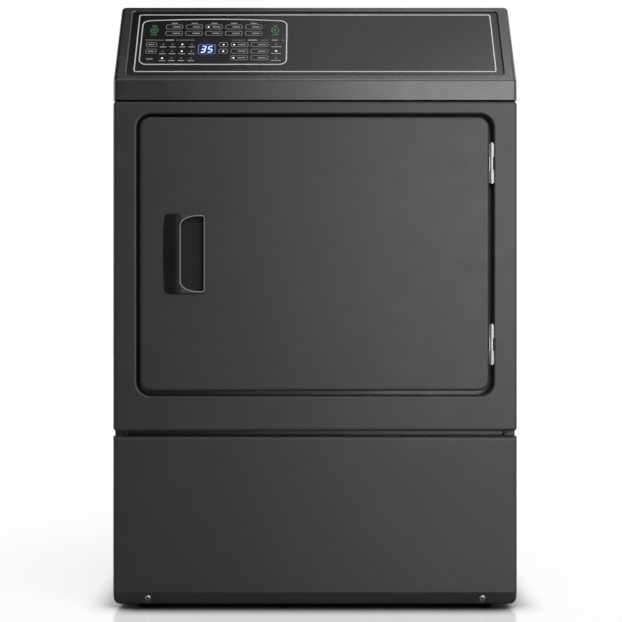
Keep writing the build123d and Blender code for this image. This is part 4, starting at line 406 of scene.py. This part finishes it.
def finish_of_slots():
    """One material for each slot of the record, and the hood's glossier paint."""
    zinc = galvanised_sheet("galvanised_steel_sheet")
    window = middle_of("display_window")
    grey_abs = moulded_plastic("moulded_grey_abs", "#6c6c6a", "#7a7a78", 0.55)
    return {
        "painted_steel": powder_paint("graphite_powder_paint", "#303031", "#333334", 0.38, 0.36),
        "control_hood": powder_paint("graphite_gloss_paint", "#2a2a2b", "#2d2d2e", 0.26, 0.7),
        "overlay_black": printed_film("back_printed_polycarbonate", window),
        "display_glass": backlit_window("smoked_display_acrylic", window),
        "board_green": moulded_plastic("circuit_board_laminate", "#1d4a2a", "#255a34", 0.5),
        "handle_black": moulded_plastic("black_textured_abs", "#131313", "#171717", 0.42, gloss=0.25),
        "screw_steel": plated_steel("bright_zinc_screw", "#c9c9c8", "#e4e4e2", 0.22),
        "hinge_steel": plated_steel("bright_zinc_hinge", "#8c8c8a", "#9c9c9a", 0.24),
        "liner_white": moulded_plastic("white_moulded_abs", "#d6d6d2", "#deded9", 0.4, 1.2, 0.02),
        "gasket_rubber": rubber("grey_door_gasket_rubber", "#3b3b3c", "#474748"),
        "catch_plastic": moulded_plastic("white_acetal", "#cfcfc8", "#d9d9d2", 0.45),
        "strike_steel": plated_steel("zinc_strike", "#b9b9b6", "#d0d0cc", 0.35),
        # painted shade: the bulkhead seen through the gaps round the door is made charcoal so that the gaps
        # read black
        "bulkhead_enamel": enamel("charcoal_enamel_gap_shade", "#17171a", "#1e1e20"),
        "zinc_steel": zinc,
        "drum_steel": brushed_stainless("brushed_stainless_drum"),
        "sensor_steel": plated_steel("stainless_sensor_strip", "#bcbcba", "#d6d6d4", 0.28),
        "baffle_plastic": moulded_plastic("grey_polypropylene", "#b9b9b4", "#c4c4bf", 0.5),
        "felt": pressed_felt("pressed_wool_felt", "#6f6c66", "#9b978f", 0.3),
        "glide_plastic": moulded_plastic("low_friction_glide", "#d8d5c8", "#e0ddd0", 0.4),
        "heater_alloy": cast_metal("heat_tinted_alloy", "#57504a", "#7d746a", 0.45),
        "shaft_steel": plated_steel("ground_steel_shaft", "#a9a9a8", "#c4c4c2", 0.25),
        "roller_rubber": rubber("roller_tyre_rubber", "#262626", "#323232"),
        "motor_alloy": cast_metal("cast_aluminium", "#8d8e90", "#a6a7a9", 0.45),
        "belt_rubber": rubber("ribbed_belt_rubber", "#1b1b1b", "#262626"),
        "duct_plastic": grey_abs,
        "filter_plastic": moulded_plastic("filter_polypropylene", "#cacac5", "#d4d4cf", 0.5),
        "filter_net": woven_net("nylon_lint_net"),
        "terminal_plastic": moulded_plastic("black_phenolic", "#1c1b1a", "#262523", 0.6),
        "cover_steel": zinc,
        "valve_brass": cast_metal("turned_brass", "#a8894a", "#c3a362", 0.32),
        "foot_rubber": rubber("black_foot_rubber", "#1a1a1a", "#232323"),
    }


def middle_of(node):
    """Middle of a CAD node's box."""
    low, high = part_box(node)
    return (low + high) / 2


def dress_nodes(finish):
    """Give every CAD node its own material or that of its slot."""
    for part in frame["record"]["subparts"]:
        mesh = frame["nodes"][part["node"]].data
        mesh.materials.clear()
        mesh.materials.append(finish.get(part["node"], finish[part["material_slot"]]))


def piece(name, mesh, body, material=None):
    """New object at the origin that rides on a body."""
    if material:
        mesh.materials.clear()
        mesh.materials.append(material)
    new = bpy.data.objects.new(name, mesh)
    bpy.context.scene.collection.objects.link(new)
    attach(new, body)


def face_matrix(origin, up, normal):
    """Matrix from millimetres on a face (across, up, out) to the part's frame."""
    turn = Matrix((Vector((1, 0, 0)), up, normal)).transposed().to_4x4()
    return Matrix.Translation(origin) @ turn @ Matrix.Scale(MM, 4)


def slope_frame():
    """Face matrix of the control film: x, v and the height over the film."""
    film = frame["nodes"]["control_overlay"].data
    upper = [polygon for polygon in film.polygons if polygon.normal.z > 0]
    face = max(upper, key=lambda polygon: polygon.area)
    normal = face.normal.copy()
    up = normal.cross(Vector((1, 0, 0)))
    up = up if up.z > 0 else -up
    level = normal.dot(film.vertices[face.vertices[0]].co)
    low = min(up.dot(vertex.co) for vertex in film.vertices)
    return face_matrix(normal * level + up * (low - OVERLAY_LOW * MM), up, normal)


def flat_mesh(name, outlines, lift):
    """Solids as thick as ink of closed outlines (x, v), at a lift over a face; a pair is a ring."""
    mesh = bpy.data.meshes.new(name)
    build = bmesh.new()
    levels = (lift, lift + INK)
    for outline in outlines:
        if isinstance(outline, tuple):
            walls = [[[build.verts.new((x, v, z)) for x, v in ring] for z in levels] for ring in outline]
            (o_low, o_high), (i_low, i_high) = walls
            for step in range(len(o_low)):
                after = (step + 1) % len(o_low)
                build.faces.new((o_high[step], o_high[after], i_high[after], i_high[step]))
                build.faces.new((o_low[step], o_low[after], o_high[after], o_high[step]))
                build.faces.new((i_low[after], i_low[step], i_high[step], i_high[after]))
                build.faces.new((o_low[after], o_low[step], i_low[step], i_low[after]))
        else:
            low, high = ([build.verts.new((x, v, z)) for x, v in outline] for z in levels)
            build.faces.new(high)
            build.faces.new(low[::-1])
            for step in range(len(low)):
                after = (step + 1) % len(low)
                build.faces.new((low[step], low[after], high[after], high[step]))
    bmesh.ops.recalc_face_normals(build, faces=build.faces)
    build.to_mesh(mesh)
    build.free()
    return mesh


def printed(name, outlines, place, material, lift=0.0):
    """A layer of ink on a face of the cabinet."""
    mesh = flat_mesh(name, outlines, lift)
    mesh.transform(place)
    piece(name, mesh, "cabinet", material)


def about(x, v, wide, tall):
    """Left, right, low and high of an oblong about its middle."""
    return x - wide / 2, x + wide / 2, v - tall / 2, v + tall / 2


def rounded(left, right, low, high, corner, bow=0.0, steps=6):
    """Outline of a rounded oblong, anticlockwise; the upper edge may be bowed up."""
    points = []
    for x, v, start in ((right - corner, low + corner, -90), (right - corner, high - corner, 0),
                        (left + corner, high - corner, 90), (left + corner, low + corner, 180)):
        for step in range(steps + 1):
            turn = radians(start + 90 * step / steps)
            points.append((x + corner * cos(turn), v + corner * sin(turn)))
        if start == 0:
            for step in range(1, BOW_STEPS):
                share = step / BOW_STEPS
                points.append((right - corner - share * (right - left - 2 * corner), high))
    middle, half = (left + right) / 2, (right - left) / 2 - corner
    return [(x, v + (bow * (1 - ((x - middle) / half) ** 2) if v > high - HAIR else 0.0)) for x, v in points]


def framed(left, right, low, high, corner, line, bow=0.0):
    """Ring outline of a printed line."""
    return (rounded(left, right, low, high, corner, bow),
            rounded(left + line, right - line, low + line, high - line, corner - line, bow))


def bar(x, v, width, height):
    """Small oblong with rounded ends about a middle."""
    return rounded(*about(x, v, width, height), min(width, height) * BAR_ROUND, steps=3)


def disc(x, v, radius, steps=20):
    """Round outline."""
    return [(x + radius * cos(2 * pi * step / steps), v + radius * sin(2 * pi * step / steps))
            for step in range(steps)]


def key_grid(first, columns, rows):
    """Middles of a block of keys, from its upper left one."""
    return [(first[0] + column * KEY_PITCH, first[1] - row * ROW_PITCH)
            for row in range(rows) for column in range(columns)]


def lamp_grid():
    """Middles of the programme level indicators."""
    columns, rows = LAMP_GRID
    return [(LAMP_FIRST[0] + column * LAMP_COLUMN, LAMP_FIRST[1] - row * LAMP_ROW)
            for row in range(rows) for column in range(columns)]


def status_column():
    """Middles of the status indicators, which each have a bar."""
    return [(STATUS_FIRST[0], STATUS_FIRST[1] - row * LAMP_ROW) for row in range(len(STATUS_BARS))]


def printed_lines(place, white):
    """The outer line and the line round the key cluster."""
    lines = [framed(*BORDER, BORDER_CORNER, BORDER_LINE),
             framed(*CLUSTER, CLUSTER_CORNER, BORDER_LINE, CLUSTER_BOW)]
    printed("panel_border", lines, place, white)


def printed_keys(place, grey):
    """Outlines of the keys; a bar stands in the middle of a key, or at its right beside a lamp."""
    outlines = []
    bars = []
    for middles, size, share in ((key_grid(PROGRAM_KEY, *PROGRAM_GRID), KEY_SIZE, KEY_SHARE),
                                 (key_grid(OPTION_KEY, *OPTION_GRID), KEY_SIZE, KEY_SHARE),
                                 (key_grid(ADJUST_KEY, *ADJUST_GRID), ADJUST_SIZE, 0.0),
                                 (key_grid(LEVEL_KEY, *LEVEL_GRID), LEVEL_SIZE, LEVEL_SHARE)):
        for x, v in middles:
            outlines.append(framed(*about(x, v, *size), KEY_CORNER, KEY_LINE))
            if share:
                shift = size[0] * (0.5 - share / 2) - BAR_INSET if share < 0.5 else 0.0
                bars.append(bar(x + shift, v, size[0] * share, BAR_TALL))
    printed("key_outlines", outlines + bars, place, grey, KEY_RISE)


def caption_bars(place, grey):
    """Plain bars and rules between the keys."""
    bars = [bar(x, v - BAR_DROP, *LAMP_BAR) for x, v in lamp_grid()]
    bars += [bar(x, v - BAR_DROP, width, STATUS_TALL) for (x, v), width in zip(status_column(), STATUS_BARS)]
    bars += [bar(x, v + BAR_LIFT, *KEY_BAR) for x, v in key_grid(PROGRAM_KEY, PROGRAM_GRID[0], 1)]
    bars += [bar(x, RULE_V, width, height) for x, width, height in RULE_BARS]
    bars.append(bar(*LEVEL_BAR))
    low, high = RULE_V - RULE_HALF, RULE_V + RULE_HALF
    rules = [rounded(left, right, low, high, RULE_CORNER, steps=2) for left, right in RULES]
    printed("caption_bars", bars + rules, place, grey)


def round_keys(place, green):
    """Power and start rings with plain symbols, and the bars above and below them."""
    shapes = []
    for x, v in (POWER, START):
        shapes.append((disc(x, v, RING, RING_STEPS), disc(x, v, RING - RING_LINE, RING_STEPS)))
        shapes.append(bar(x, v + RING + RING_GAP, *RING_UPPER))
        shapes.append(bar(x, v - RING - RING_GAP, *RING_LOWER))
    shapes.append((disc(*POWER, POWER_MARK), disc(*POWER, POWER_MARK - POWER_LINE)))
    x, v = START
    behind, before, beside = START_MARK
    shapes.append([(x - behind, v - beside), (x + before, v), (x - behind, v + beside)])
    printed("round_key_rings", shapes, place, green, KEY_RISE)


def seven_segments(place, glow):
    """Leaning digits of the display; each shows the lit ones of seven bars."""
    width, height = DIGIT
    half, stroke = height / 2, DIGIT_STROKE
    across = width - stroke

    def level(v):
        """Outline of a level segment."""
        end = across / 2
        tip = stroke / 2
        return [(-end, v), (-end + tip, v - tip), (end - tip, v - tip), (end, v), (end - tip, v + tip),
                (-end + tip, v + tip)]

    def upright(x, v):
        """Outline of an upright segment."""
        end = (half - stroke / 2) / 2
        tip = stroke / 2
        return [(x, v - end), (x + tip, v - end + tip), (x + tip, v + end - tip), (x, v + end),
                (x - tip, v + end - tip), (x - tip, v - end + tip)]

    reach = half - stroke / 2
    segments = {"a": level(reach), "g": level(0), "d": level(-reach), "b": upright(across / 2, reach / 2),
                "c": upright(across / 2, -reach / 2), "e": upright(-across / 2, -reach / 2),
                "f": upright(-across / 2, reach / 2)}
    shapes = []
    for step, digit in enumerate(DIGITS):
        x0 = DISPLAY[0] + (step - (len(DIGITS) - 1) / 2) * DIGIT_PITCH
        for name in LIT_BARS[int(digit)]:
            shapes.append([(x0 + x * DIGIT_FIT[0] + v * DIGIT_LEAN, DISPLAY[1] + v * DIGIT_FIT[1])
                           for x, v in segments[name]])
    printed("display_digits", shapes, place, glow)


def display_frame(place, pale):
    """Printed line round the display window."""
    line = framed(*about(*DISPLAY, *DISPLAY_SIZE), DISPLAY_CORNER, DISPLAY_LINE)
    printed("display_outline", [line], place, pale)


def copies_tree(name, sizes, unit):
    """Geometry Nodes: a unit form on every point of a mesh; sizes are the unit's named inputs."""
    tree = bpy.data.node_groups.new(name, "GeometryNodeTree")
    interface = tree.interface
    interface.new_socket("Geometry", in_out="INPUT", socket_type="NodeSocketGeometry")
    for size in sizes:
        interface.new_socket(size, in_out="INPUT", socket_type="NodeSocketFloat")
    interface.new_socket("Material", in_out="INPUT", socket_type="NodeSocketMaterial")
    interface.new_socket("Geometry", in_out="OUTPUT", socket_type="NodeSocketGeometry")
    source = add(tree, "NodeGroupInput")
    points = add(tree, "GeometryNodeMeshToPoints", {"Mesh": source.outputs["Geometry"]})
    copies = add(tree, "GeometryNodeInstanceOnPoints", {"Points": points.outputs["Points"],
                                                        "Instance": unit(tree, source.outputs)})
    real = add(tree, "GeometryNodeRealizeInstances", {"Geometry": copies.outputs["Instances"]})
    painted = add(tree, "GeometryNodeSetMaterial", {"Geometry": real.outputs["Geometry"],
                                                    "Material": source.outputs["Material"]})
    add(tree, "NodeGroupOutput", {"Geometry": painted.outputs["Geometry"]})
    return tree


def lens_unit(tree, sizes):
    """Low domed lens of an indicator."""
    ball = add(tree, "GeometryNodeMeshUVSphere", {"Segments": 16, "Rings": 8, "Radius": sizes["Radius"]})
    scale = add(tree, "ShaderNodeCombineXYZ", {"X": 1.0, "Y": 1.0, "Z": sizes["Dome"]})
    lens = add(tree, "GeometryNodeTransform",
               {"Geometry": ball.outputs["Mesh"], "Scale": scale.outputs["Vector"]})
    return add(tree, "GeometryNodeSetShadeSmooth", {0: lens.outputs["Geometry"]}).outputs[0]


def scoop_unit(tree, sizes):
    """Pressed louvre hood: a long dome that stands out of the sheet and is open below."""
    ball = add(tree, "GeometryNodeMeshUVSphere", {"Segments": 32, "Rings": 16, "Radius": 1.0})
    position = add(tree, "GeometryNodeInputPosition").outputs["Position"]
    place = add(tree, "ShaderNodeSeparateXYZ", {"Vector": position})
    inside = add(tree, "ShaderNodeMath", {0: place.outputs["Y"], 1: place.outputs["Z"]}, operation="MINIMUM")
    hidden = add(tree, "FunctionNodeCompare", {"A": inside.outputs["Value"], "B": 0.0}, operation="LESS_THAN")
    open_dome = add(tree, "GeometryNodeDeleteGeometry",
                    {"Geometry": ball.outputs["Mesh"], "Selection": hidden.outputs["Result"]}, domain="FACE")
    scale = add(tree, "ShaderNodeCombineXYZ", {"X": sizes["Half"], "Y": sizes["Rise"], "Z": sizes["Tall"]})
    scoop = add(tree, "GeometryNodeTransform", {"Geometry": open_dome.outputs["Geometry"],
                                                "Scale": scale.outputs["Vector"]})
    return add(tree, "GeometryNodeSetShadeSmooth", {0: scoop.outputs["Geometry"]}).outputs[0]


def hex_unit(tree, sizes):
    """Hexagon washer-head screw whose axis is +Y: the flange under the head is wider and thin."""
    def disc_of(sides, radius, rise):
        """Disc whose radius and height are shares of the screw's sizes."""
        width = add(tree, "ShaderNodeMath", {0: sizes["Radius"], 1: radius}, operation="MULTIPLY")
        height = add(tree, "ShaderNodeMath", {0: sizes["Height"], 1: rise}, operation="MULTIPLY")
        return add(tree, "GeometryNodeMeshCylinder", {"Vertices": sides, "Radius": width.outputs["Value"],
                                                      "Depth": height.outputs["Value"]}).outputs["Mesh"]

    both = add(tree, "GeometryNodeJoinGeometry")
    for mesh in (disc_of(sides=6, radius=1.0, rise=2.0), disc_of(sides=24, radius=1.4, rise=0.6)):
        tree.links.new(mesh, both.inputs["Geometry"])
    return add(tree, "GeometryNodeTransform", {"Geometry": both.outputs["Geometry"],
                                               "Rotation": (-pi / 2, 0.0, 0.0)}).outputs["Geometry"]


def grown(tree, name, points, **inputs):
    """Plain mesh that a Geometry Nodes tree makes on a cloud of points."""
    cloud = bpy.data.meshes.new(name + "_points")
    cloud.from_pydata([tuple(point) for point in points], [], [])
    carrier = bpy.data.objects.new(name + "_points", cloud)
    bpy.context.scene.collection.objects.link(carrier)
    modifier = carrier.modifiers.new("grow", "NODES")
    modifier.node_group = tree
    for item in tree.interface.items_tree:
        if item.in_out == "INPUT" and item.name in inputs:
            modifier[item.identifier] = inputs[item.name]
    graph = bpy.context.evaluated_depsgraph_get()
    mesh = bpy.data.meshes.new_from_object(carrier.evaluated_get(graph))
    mesh.name = name
    bpy.data.objects.remove(carrier)
    return mesh


def indicators(place, lit, unlit):
    """Indicator lenses: lit ones glow, the others are dull rings of print."""
    levels = lamp_grid()
    status = status_column()
    keys = key_grid(PROGRAM_KEY, *PROGRAM_GRID) + key_grid(OPTION_KEY, *OPTION_GRID)
    key_lamps = [(x - KEY_SIZE[0] / 2 + LAMP_INSET, v, KEY_RISE) for x, v in keys]
    on = [levels[spot] for spot in LIT_LEVELS] + [status[spot] for spot in LIT_STATUS]
    glow = [(x, v, 0.0) for x, v in on] + [key_lamps[spot] for spot in LIT_KEYS]
    glow += [(x, v, KEY_RISE) for x, v in key_grid(ADJUST_KEY, *ADJUST_GRID)]
    tree = copies_tree("indicator_lenses", ("Radius", "Dome"), lens_unit)
    mesh = grown(tree, "lit_indicators", glow, Radius=LAMP, Dome=LAMP_DOME, Material=lit)
    mesh.transform(place)
    piece("lit_indicators", mesh, "cabinet")
    off = [spot for spot in levels + status if spot not in on]
    rings = [(disc(x, v, LAMP), disc(x, v, LAMP - LAMP_LINE)) for x, v in off]
    printed("unlit_indicators", rings, place, unlit)


def control_graphics():
    """Everything printed or lit on the control film."""
    place = slope_frame()
    white = ink("white_screen_ink", "#d4d2d4", "#e2e0e2")
    grey = ink("grey_screen_ink", "#8e8c8e", "#a2a0a2")
    green = ink("green_screen_ink", "#3f7a56", "#56946c")
    printed_lines(place, white)
    printed_keys(place, grey)
    caption_bars(place, grey)
    round_keys(place, green)
    display_frame(place, ink("pale_blue_screen_ink", "#8a8fa6", "#9ca1b8"))
    seven_segments(place, lamp_glow("display_digit_glow", "#9fc2f8", 0.6))
    indicators(place, lamp_glow("indicator_glow", "#f2f2f2", 0.8), grey)


def pocket_line():
    """Points along the pocket's mouth, (x, z) about the handle's middle."""
    wide, tall = POCKET_EASE
    side, end = POCKET_RIGHT - POCKET_CORNER, POCKET_HALF - POCKET_CORNER
    corners = ((side, -end, POCKET_CORNER, POCKET_CORNER, -90),
               (side, end, POCKET_CORNER, POCKET_CORNER, 0),
               (POCKET_LEFT + wide, POCKET_HALF - tall, wide, tall, 90),
               (POCKET_LEFT + wide, tall - POCKET_HALF, wide, tall, 180))
    line = []
    for x, z, reach, rise, start in corners:
        for step in range(BEAD_STEPS + 1):
            turn = radians(start + 90 * step / BEAD_STEPS)
            line.append((x + reach * cos(turn), z + rise * sin(turn)))
    return line


def face_depth(x):
    """How far the handle's face stands out at a place across it."""
    share = (x - POCKET_LEFT - GRIP_EDGE) / (HANDLE_SIDE - POCKET_LEFT - GRIP_EDGE)
    return GRIP_PROUD - (GRIP_PROUD - RIM_PROUD) * min(max(share, 0.0), 1.0)


def pocket_highlight_bead(front):
    """Pale grey bead in the mouth of the finger pocket, flush with the handle's face: a painted highlight of
    the pocket's rounded edge.
    """
    low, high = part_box("door_handle")
    middle_x, middle_z = high.x - HANDLE_SIDE * MM, (low.z + high.z) / 2
    path = [Vector((middle_x + x * MM, front - (face_depth(x) - HIGHLIGHT_BEAD) * MM, middle_z + z * MM))
            for x, z in pocket_line()]
    build = bmesh.new()
    rings = []
    for step, point in enumerate(path):
        along = (path[(step + 1) % len(path)] - path[step - 1]).normalized()
        aside = along.cross(Vector((0, -1, 0))).normalized()
        out = aside.cross(along)
        spokes = [aside * cos(turn * 2 * pi / BEAD_SIDES) + out * sin(turn * 2 * pi / BEAD_SIDES)
                  for turn in range(BEAD_SIDES)]
        rings.append([build.verts.new(point + spoke * HIGHLIGHT_BEAD * MM) for spoke in spokes])
    for step, ring in enumerate(rings):
        after = rings[(step + 1) % len(rings)]
        for turn in range(BEAD_SIDES):
            build.faces.new((ring[turn], ring[turn - 1], after[turn - 1], after[turn])).smooth = True
    bmesh.ops.recalc_face_normals(build, faces=build.faces)
    mesh = bpy.data.meshes.new("pocket_highlight_bead")
    build.to_mesh(mesh)
    build.free()
    # painted highlight: the pale grey bead stands in for light caught on the rounded mouth of the pocket
    satin = moulded_plastic("highlight_grey_abs", "#6b6b6a", "#757574", 0.4)
    piece("pocket_highlight_bead", mesh, "door", satin)


def toe_crosses():
    """Painted shade of the cross recesses in the heads of the toe screws: flat dark crosses on each head."""
    heads = frame["nodes"]["lower_panel_screws"].data
    normal = Vector(TOE_NORMAL).normalized()
    up = normal.cross(Vector((1, 0, 0)))
    # painted shade: dark flat crosses on the screw heads stand in for the shade in their recesses
    dark = ink("shadowed_screw_recess", "#1d1d1c", "#262625")
    for name, side in (("left_screw_cross", -1), ("right_screw_cross", 1)):
        points = [vertex.co for vertex in heads.vertices if vertex.co.x * side > 0]
        level = max(normal.dot(point) for point in points)
        top = [point for point in points if normal.dot(point) > level - HEAD_FLAT * MM]
        middle = sum(top, Vector()) / len(top)
        middle += normal * (level - normal.dot(middle))
        cross = [bar(0, 0, *CROSS), bar(0, 0, *CROSS[::-1])]
        printed(name, cross, face_matrix(middle, up, normal), dark)


def back_details(finish):
    """Pressed hoods over the louvre slots and the screws that hold the rear panel."""
    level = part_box("rear_panel")[1].y
    rows = [LOUVRE_Z + (row - (LOUVRE_ROWS - 1) / 2) * LOUVRE_PITCH for row in range(LOUVRE_ROWS)]
    slots = [(x * MM, level, z * MM) for x in (-LOUVRE_X, LOUVRE_X) for z in rows]
    tree = copies_tree("louvre_hoods", ("Half", "Rise", "Tall"), scoop_unit)
    mesh = grown(tree, "louvre_hoods", slots, Half=LOUVRE_HALF * MM, Rise=LOUVRE_RISE * MM,
                 Tall=LOUVRE_TALL * MM, Material=finish["zinc_steel"])
    piece("louvre_hoods", mesh, "cabinet")
    screws = [(x * MM, level, z * MM) for x in (-REAR_SCREW_X, REAR_SCREW_X) for z in REAR_SCREW_Z]
    screws += [(x * MM, level, REAR_SCREW_Z[-1] * MM) for x in REAR_SCREW_TOP]
    tree = copies_tree("rear_screws", ("Radius", "Height"), hex_unit)
    mesh = grown(tree, "rear_screws", screws, Radius=REAR_SCREW * MM, Height=REAR_SCREW_HEAD * MM,
                 Material=finish["screw_steel"])
    piece("rear_screws", mesh, "cabinet")


def studio():
    """White floor that keeps a soft shadow, white surroundings, three soft boxes and two black flags."""
    bpy.context.scene.view_settings.view_transform = "Standard"
    surroundings()
    soft_box("right_soft_box", place=(1200, -2700, 1050), aim=(150, -350, 750), size=(2200, 1900), power=50.0)
    soft_box("top_soft_box", place=(500, -1100, 2700), aim=(100, -200, 900), size=(1400, 800), power=10.0)
    soft_box("left_soft_box", place=(-2600, 700, 1300), aim=(-300, 0, 600), size=(900, 1600), power=16.0)
    felt = pressed_felt("black_flag_cloth", "#060606", "#0a0a0a", 0.0)
    flag("front_flag", [(x, FRONT_FLAG_Y, z) for x, z in oblong(*FRONT_FLAG)], felt)
    flag("top_flag", [(x, y, TOP_FLAG_Z) for x, y in oblong(*TOP_FLAG)], felt)
    floor()


def surroundings():
    """White world: full white to the camera and in reflections, a weaker fill on dull faces."""
    world = bpy.data.worlds.new("white_studio")
    bpy.context.scene.world = world
    world.use_nodes = True
    tree = world.node_tree
    rays = add(tree, "ShaderNodeLightPath").outputs
    seen = rays["Is Camera Ray"]
    for ray in ("Is Glossy Ray", "Is Transmission Ray"):
        seen = add(tree, "ShaderNodeMath", {0: seen, 1: rays[ray]}, operation="MAXIMUM").outputs["Value"]
    back = tree.nodes["Background"].inputs
    back["Color"].default_value = srgb("#ffffff")
    drive(tree, back["Strength"], seen, FILL_LIGHT, 1.0, 0.0, 1.0)


def oblong(left, right, low, high):
    """Corners of a flat oblong, anticlockwise."""
    return (left, low), (right, low), (right, high), (left, high)


def flag(name, corners, cloth):
    """Black cloth on the left, hidden from the camera: glossy faces darken to that side."""
    mesh = bpy.data.meshes.new(name)
    mesh.from_pydata([Vector(corner) * MM for corner in corners], [], [(0, 1, 2, 3)])
    mesh.materials.append(cloth)
    cloth_sheet = bpy.data.objects.new(name, mesh)
    cloth_sheet.visible_camera = False
    bpy.context.scene.collection.objects.link(cloth_sheet)


def soft_box(name, place, aim, size, power):
    """Oblong area light aimed at a point, in millimetres."""
    light = bpy.data.lights.new(name, "AREA")
    light.shape = "RECTANGLE"
    light.size, light.size_y = (side * MM for side in size)
    light.energy = power
    lamp = bpy.data.objects.new(name, light)
    lamp.location = Vector(place) * MM
    lamp.rotation_euler = (Vector(aim) - Vector(place)).to_track_quat("-Z", "Y").to_euler()
    bpy.context.scene.collection.objects.link(lamp)


def floor():
    """Pale sweep under the machine, white to the camera, with a painted shadow in its colour where the
    machine shades it.
    """
    material, tree, look = principled("white_studio_floor", Roughness=0.2, Specular_IOR_Level=0.5)
    shade = add(tree, "ShaderNodeAmbientOcclusion", {"Distance": PAINTED_SHADOW_REACH * MM}, samples=8).outputs["AO"]
    # painted shadow: the floor's colour falls from pale grey to near black where the machine hides the sky
    drive(tree, look["Base Color"], shade, srgb("#080808"), srgb("#c4c4c4"), *OPEN_FLOOR)
    look["Emission Color"].default_value = srgb("#ffffff")
    seen = add(tree, "ShaderNodeLightPath").outputs["Is Camera Ray"]
    glow = add(tree, "ShaderNodeMath", {0: seen}, look["Emission Strength"], operation="MULTIPLY")
    drive(tree, glow.inputs[1], shade, 0.0, FLOOR_GLOW, *OPEN_FLOOR)
    mesh = bpy.data.meshes.new("studio_floor")
    reach = FLOOR_REACH * MM
    mesh.from_pydata([(x, y, 0.0) for x, y in oblong(-reach, reach, -reach, reach)], [], [(0, 1, 2, 3)])
    mesh.materials.append(material)
    sweep = bpy.data.objects.new("studio_floor", mesh)
    bpy.context.scene.collection.objects.link(sweep)


def camera():
    """The photograph's view: level and square on, with no shift."""
    lens = bpy.data.cameras.new("photo_camera")
    lens.lens = LENS
    lens.sensor_width = SENSOR
    lens.clip_end = VIEW_REACH * MM
    eye = bpy.data.objects.new("photo_camera", lens)
    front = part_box("front_panel")[0].y
    eye.location = (EYE_X * MM, front - EYE_DISTANCE * MM, EYE_HEIGHT * MM)
    eye.rotation_euler = (pi / 2, 0, 0)
    bpy.context.scene.collection.objects.link(eye)
    bpy.context.scene.camera = eye


finish = finish_of_slots()
dress_nodes(finish)
control_graphics()
pocket_highlight_bead(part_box("door_outer_panel")[0].y)
toe_crosses()
back_details(finish)
studio()
camera()
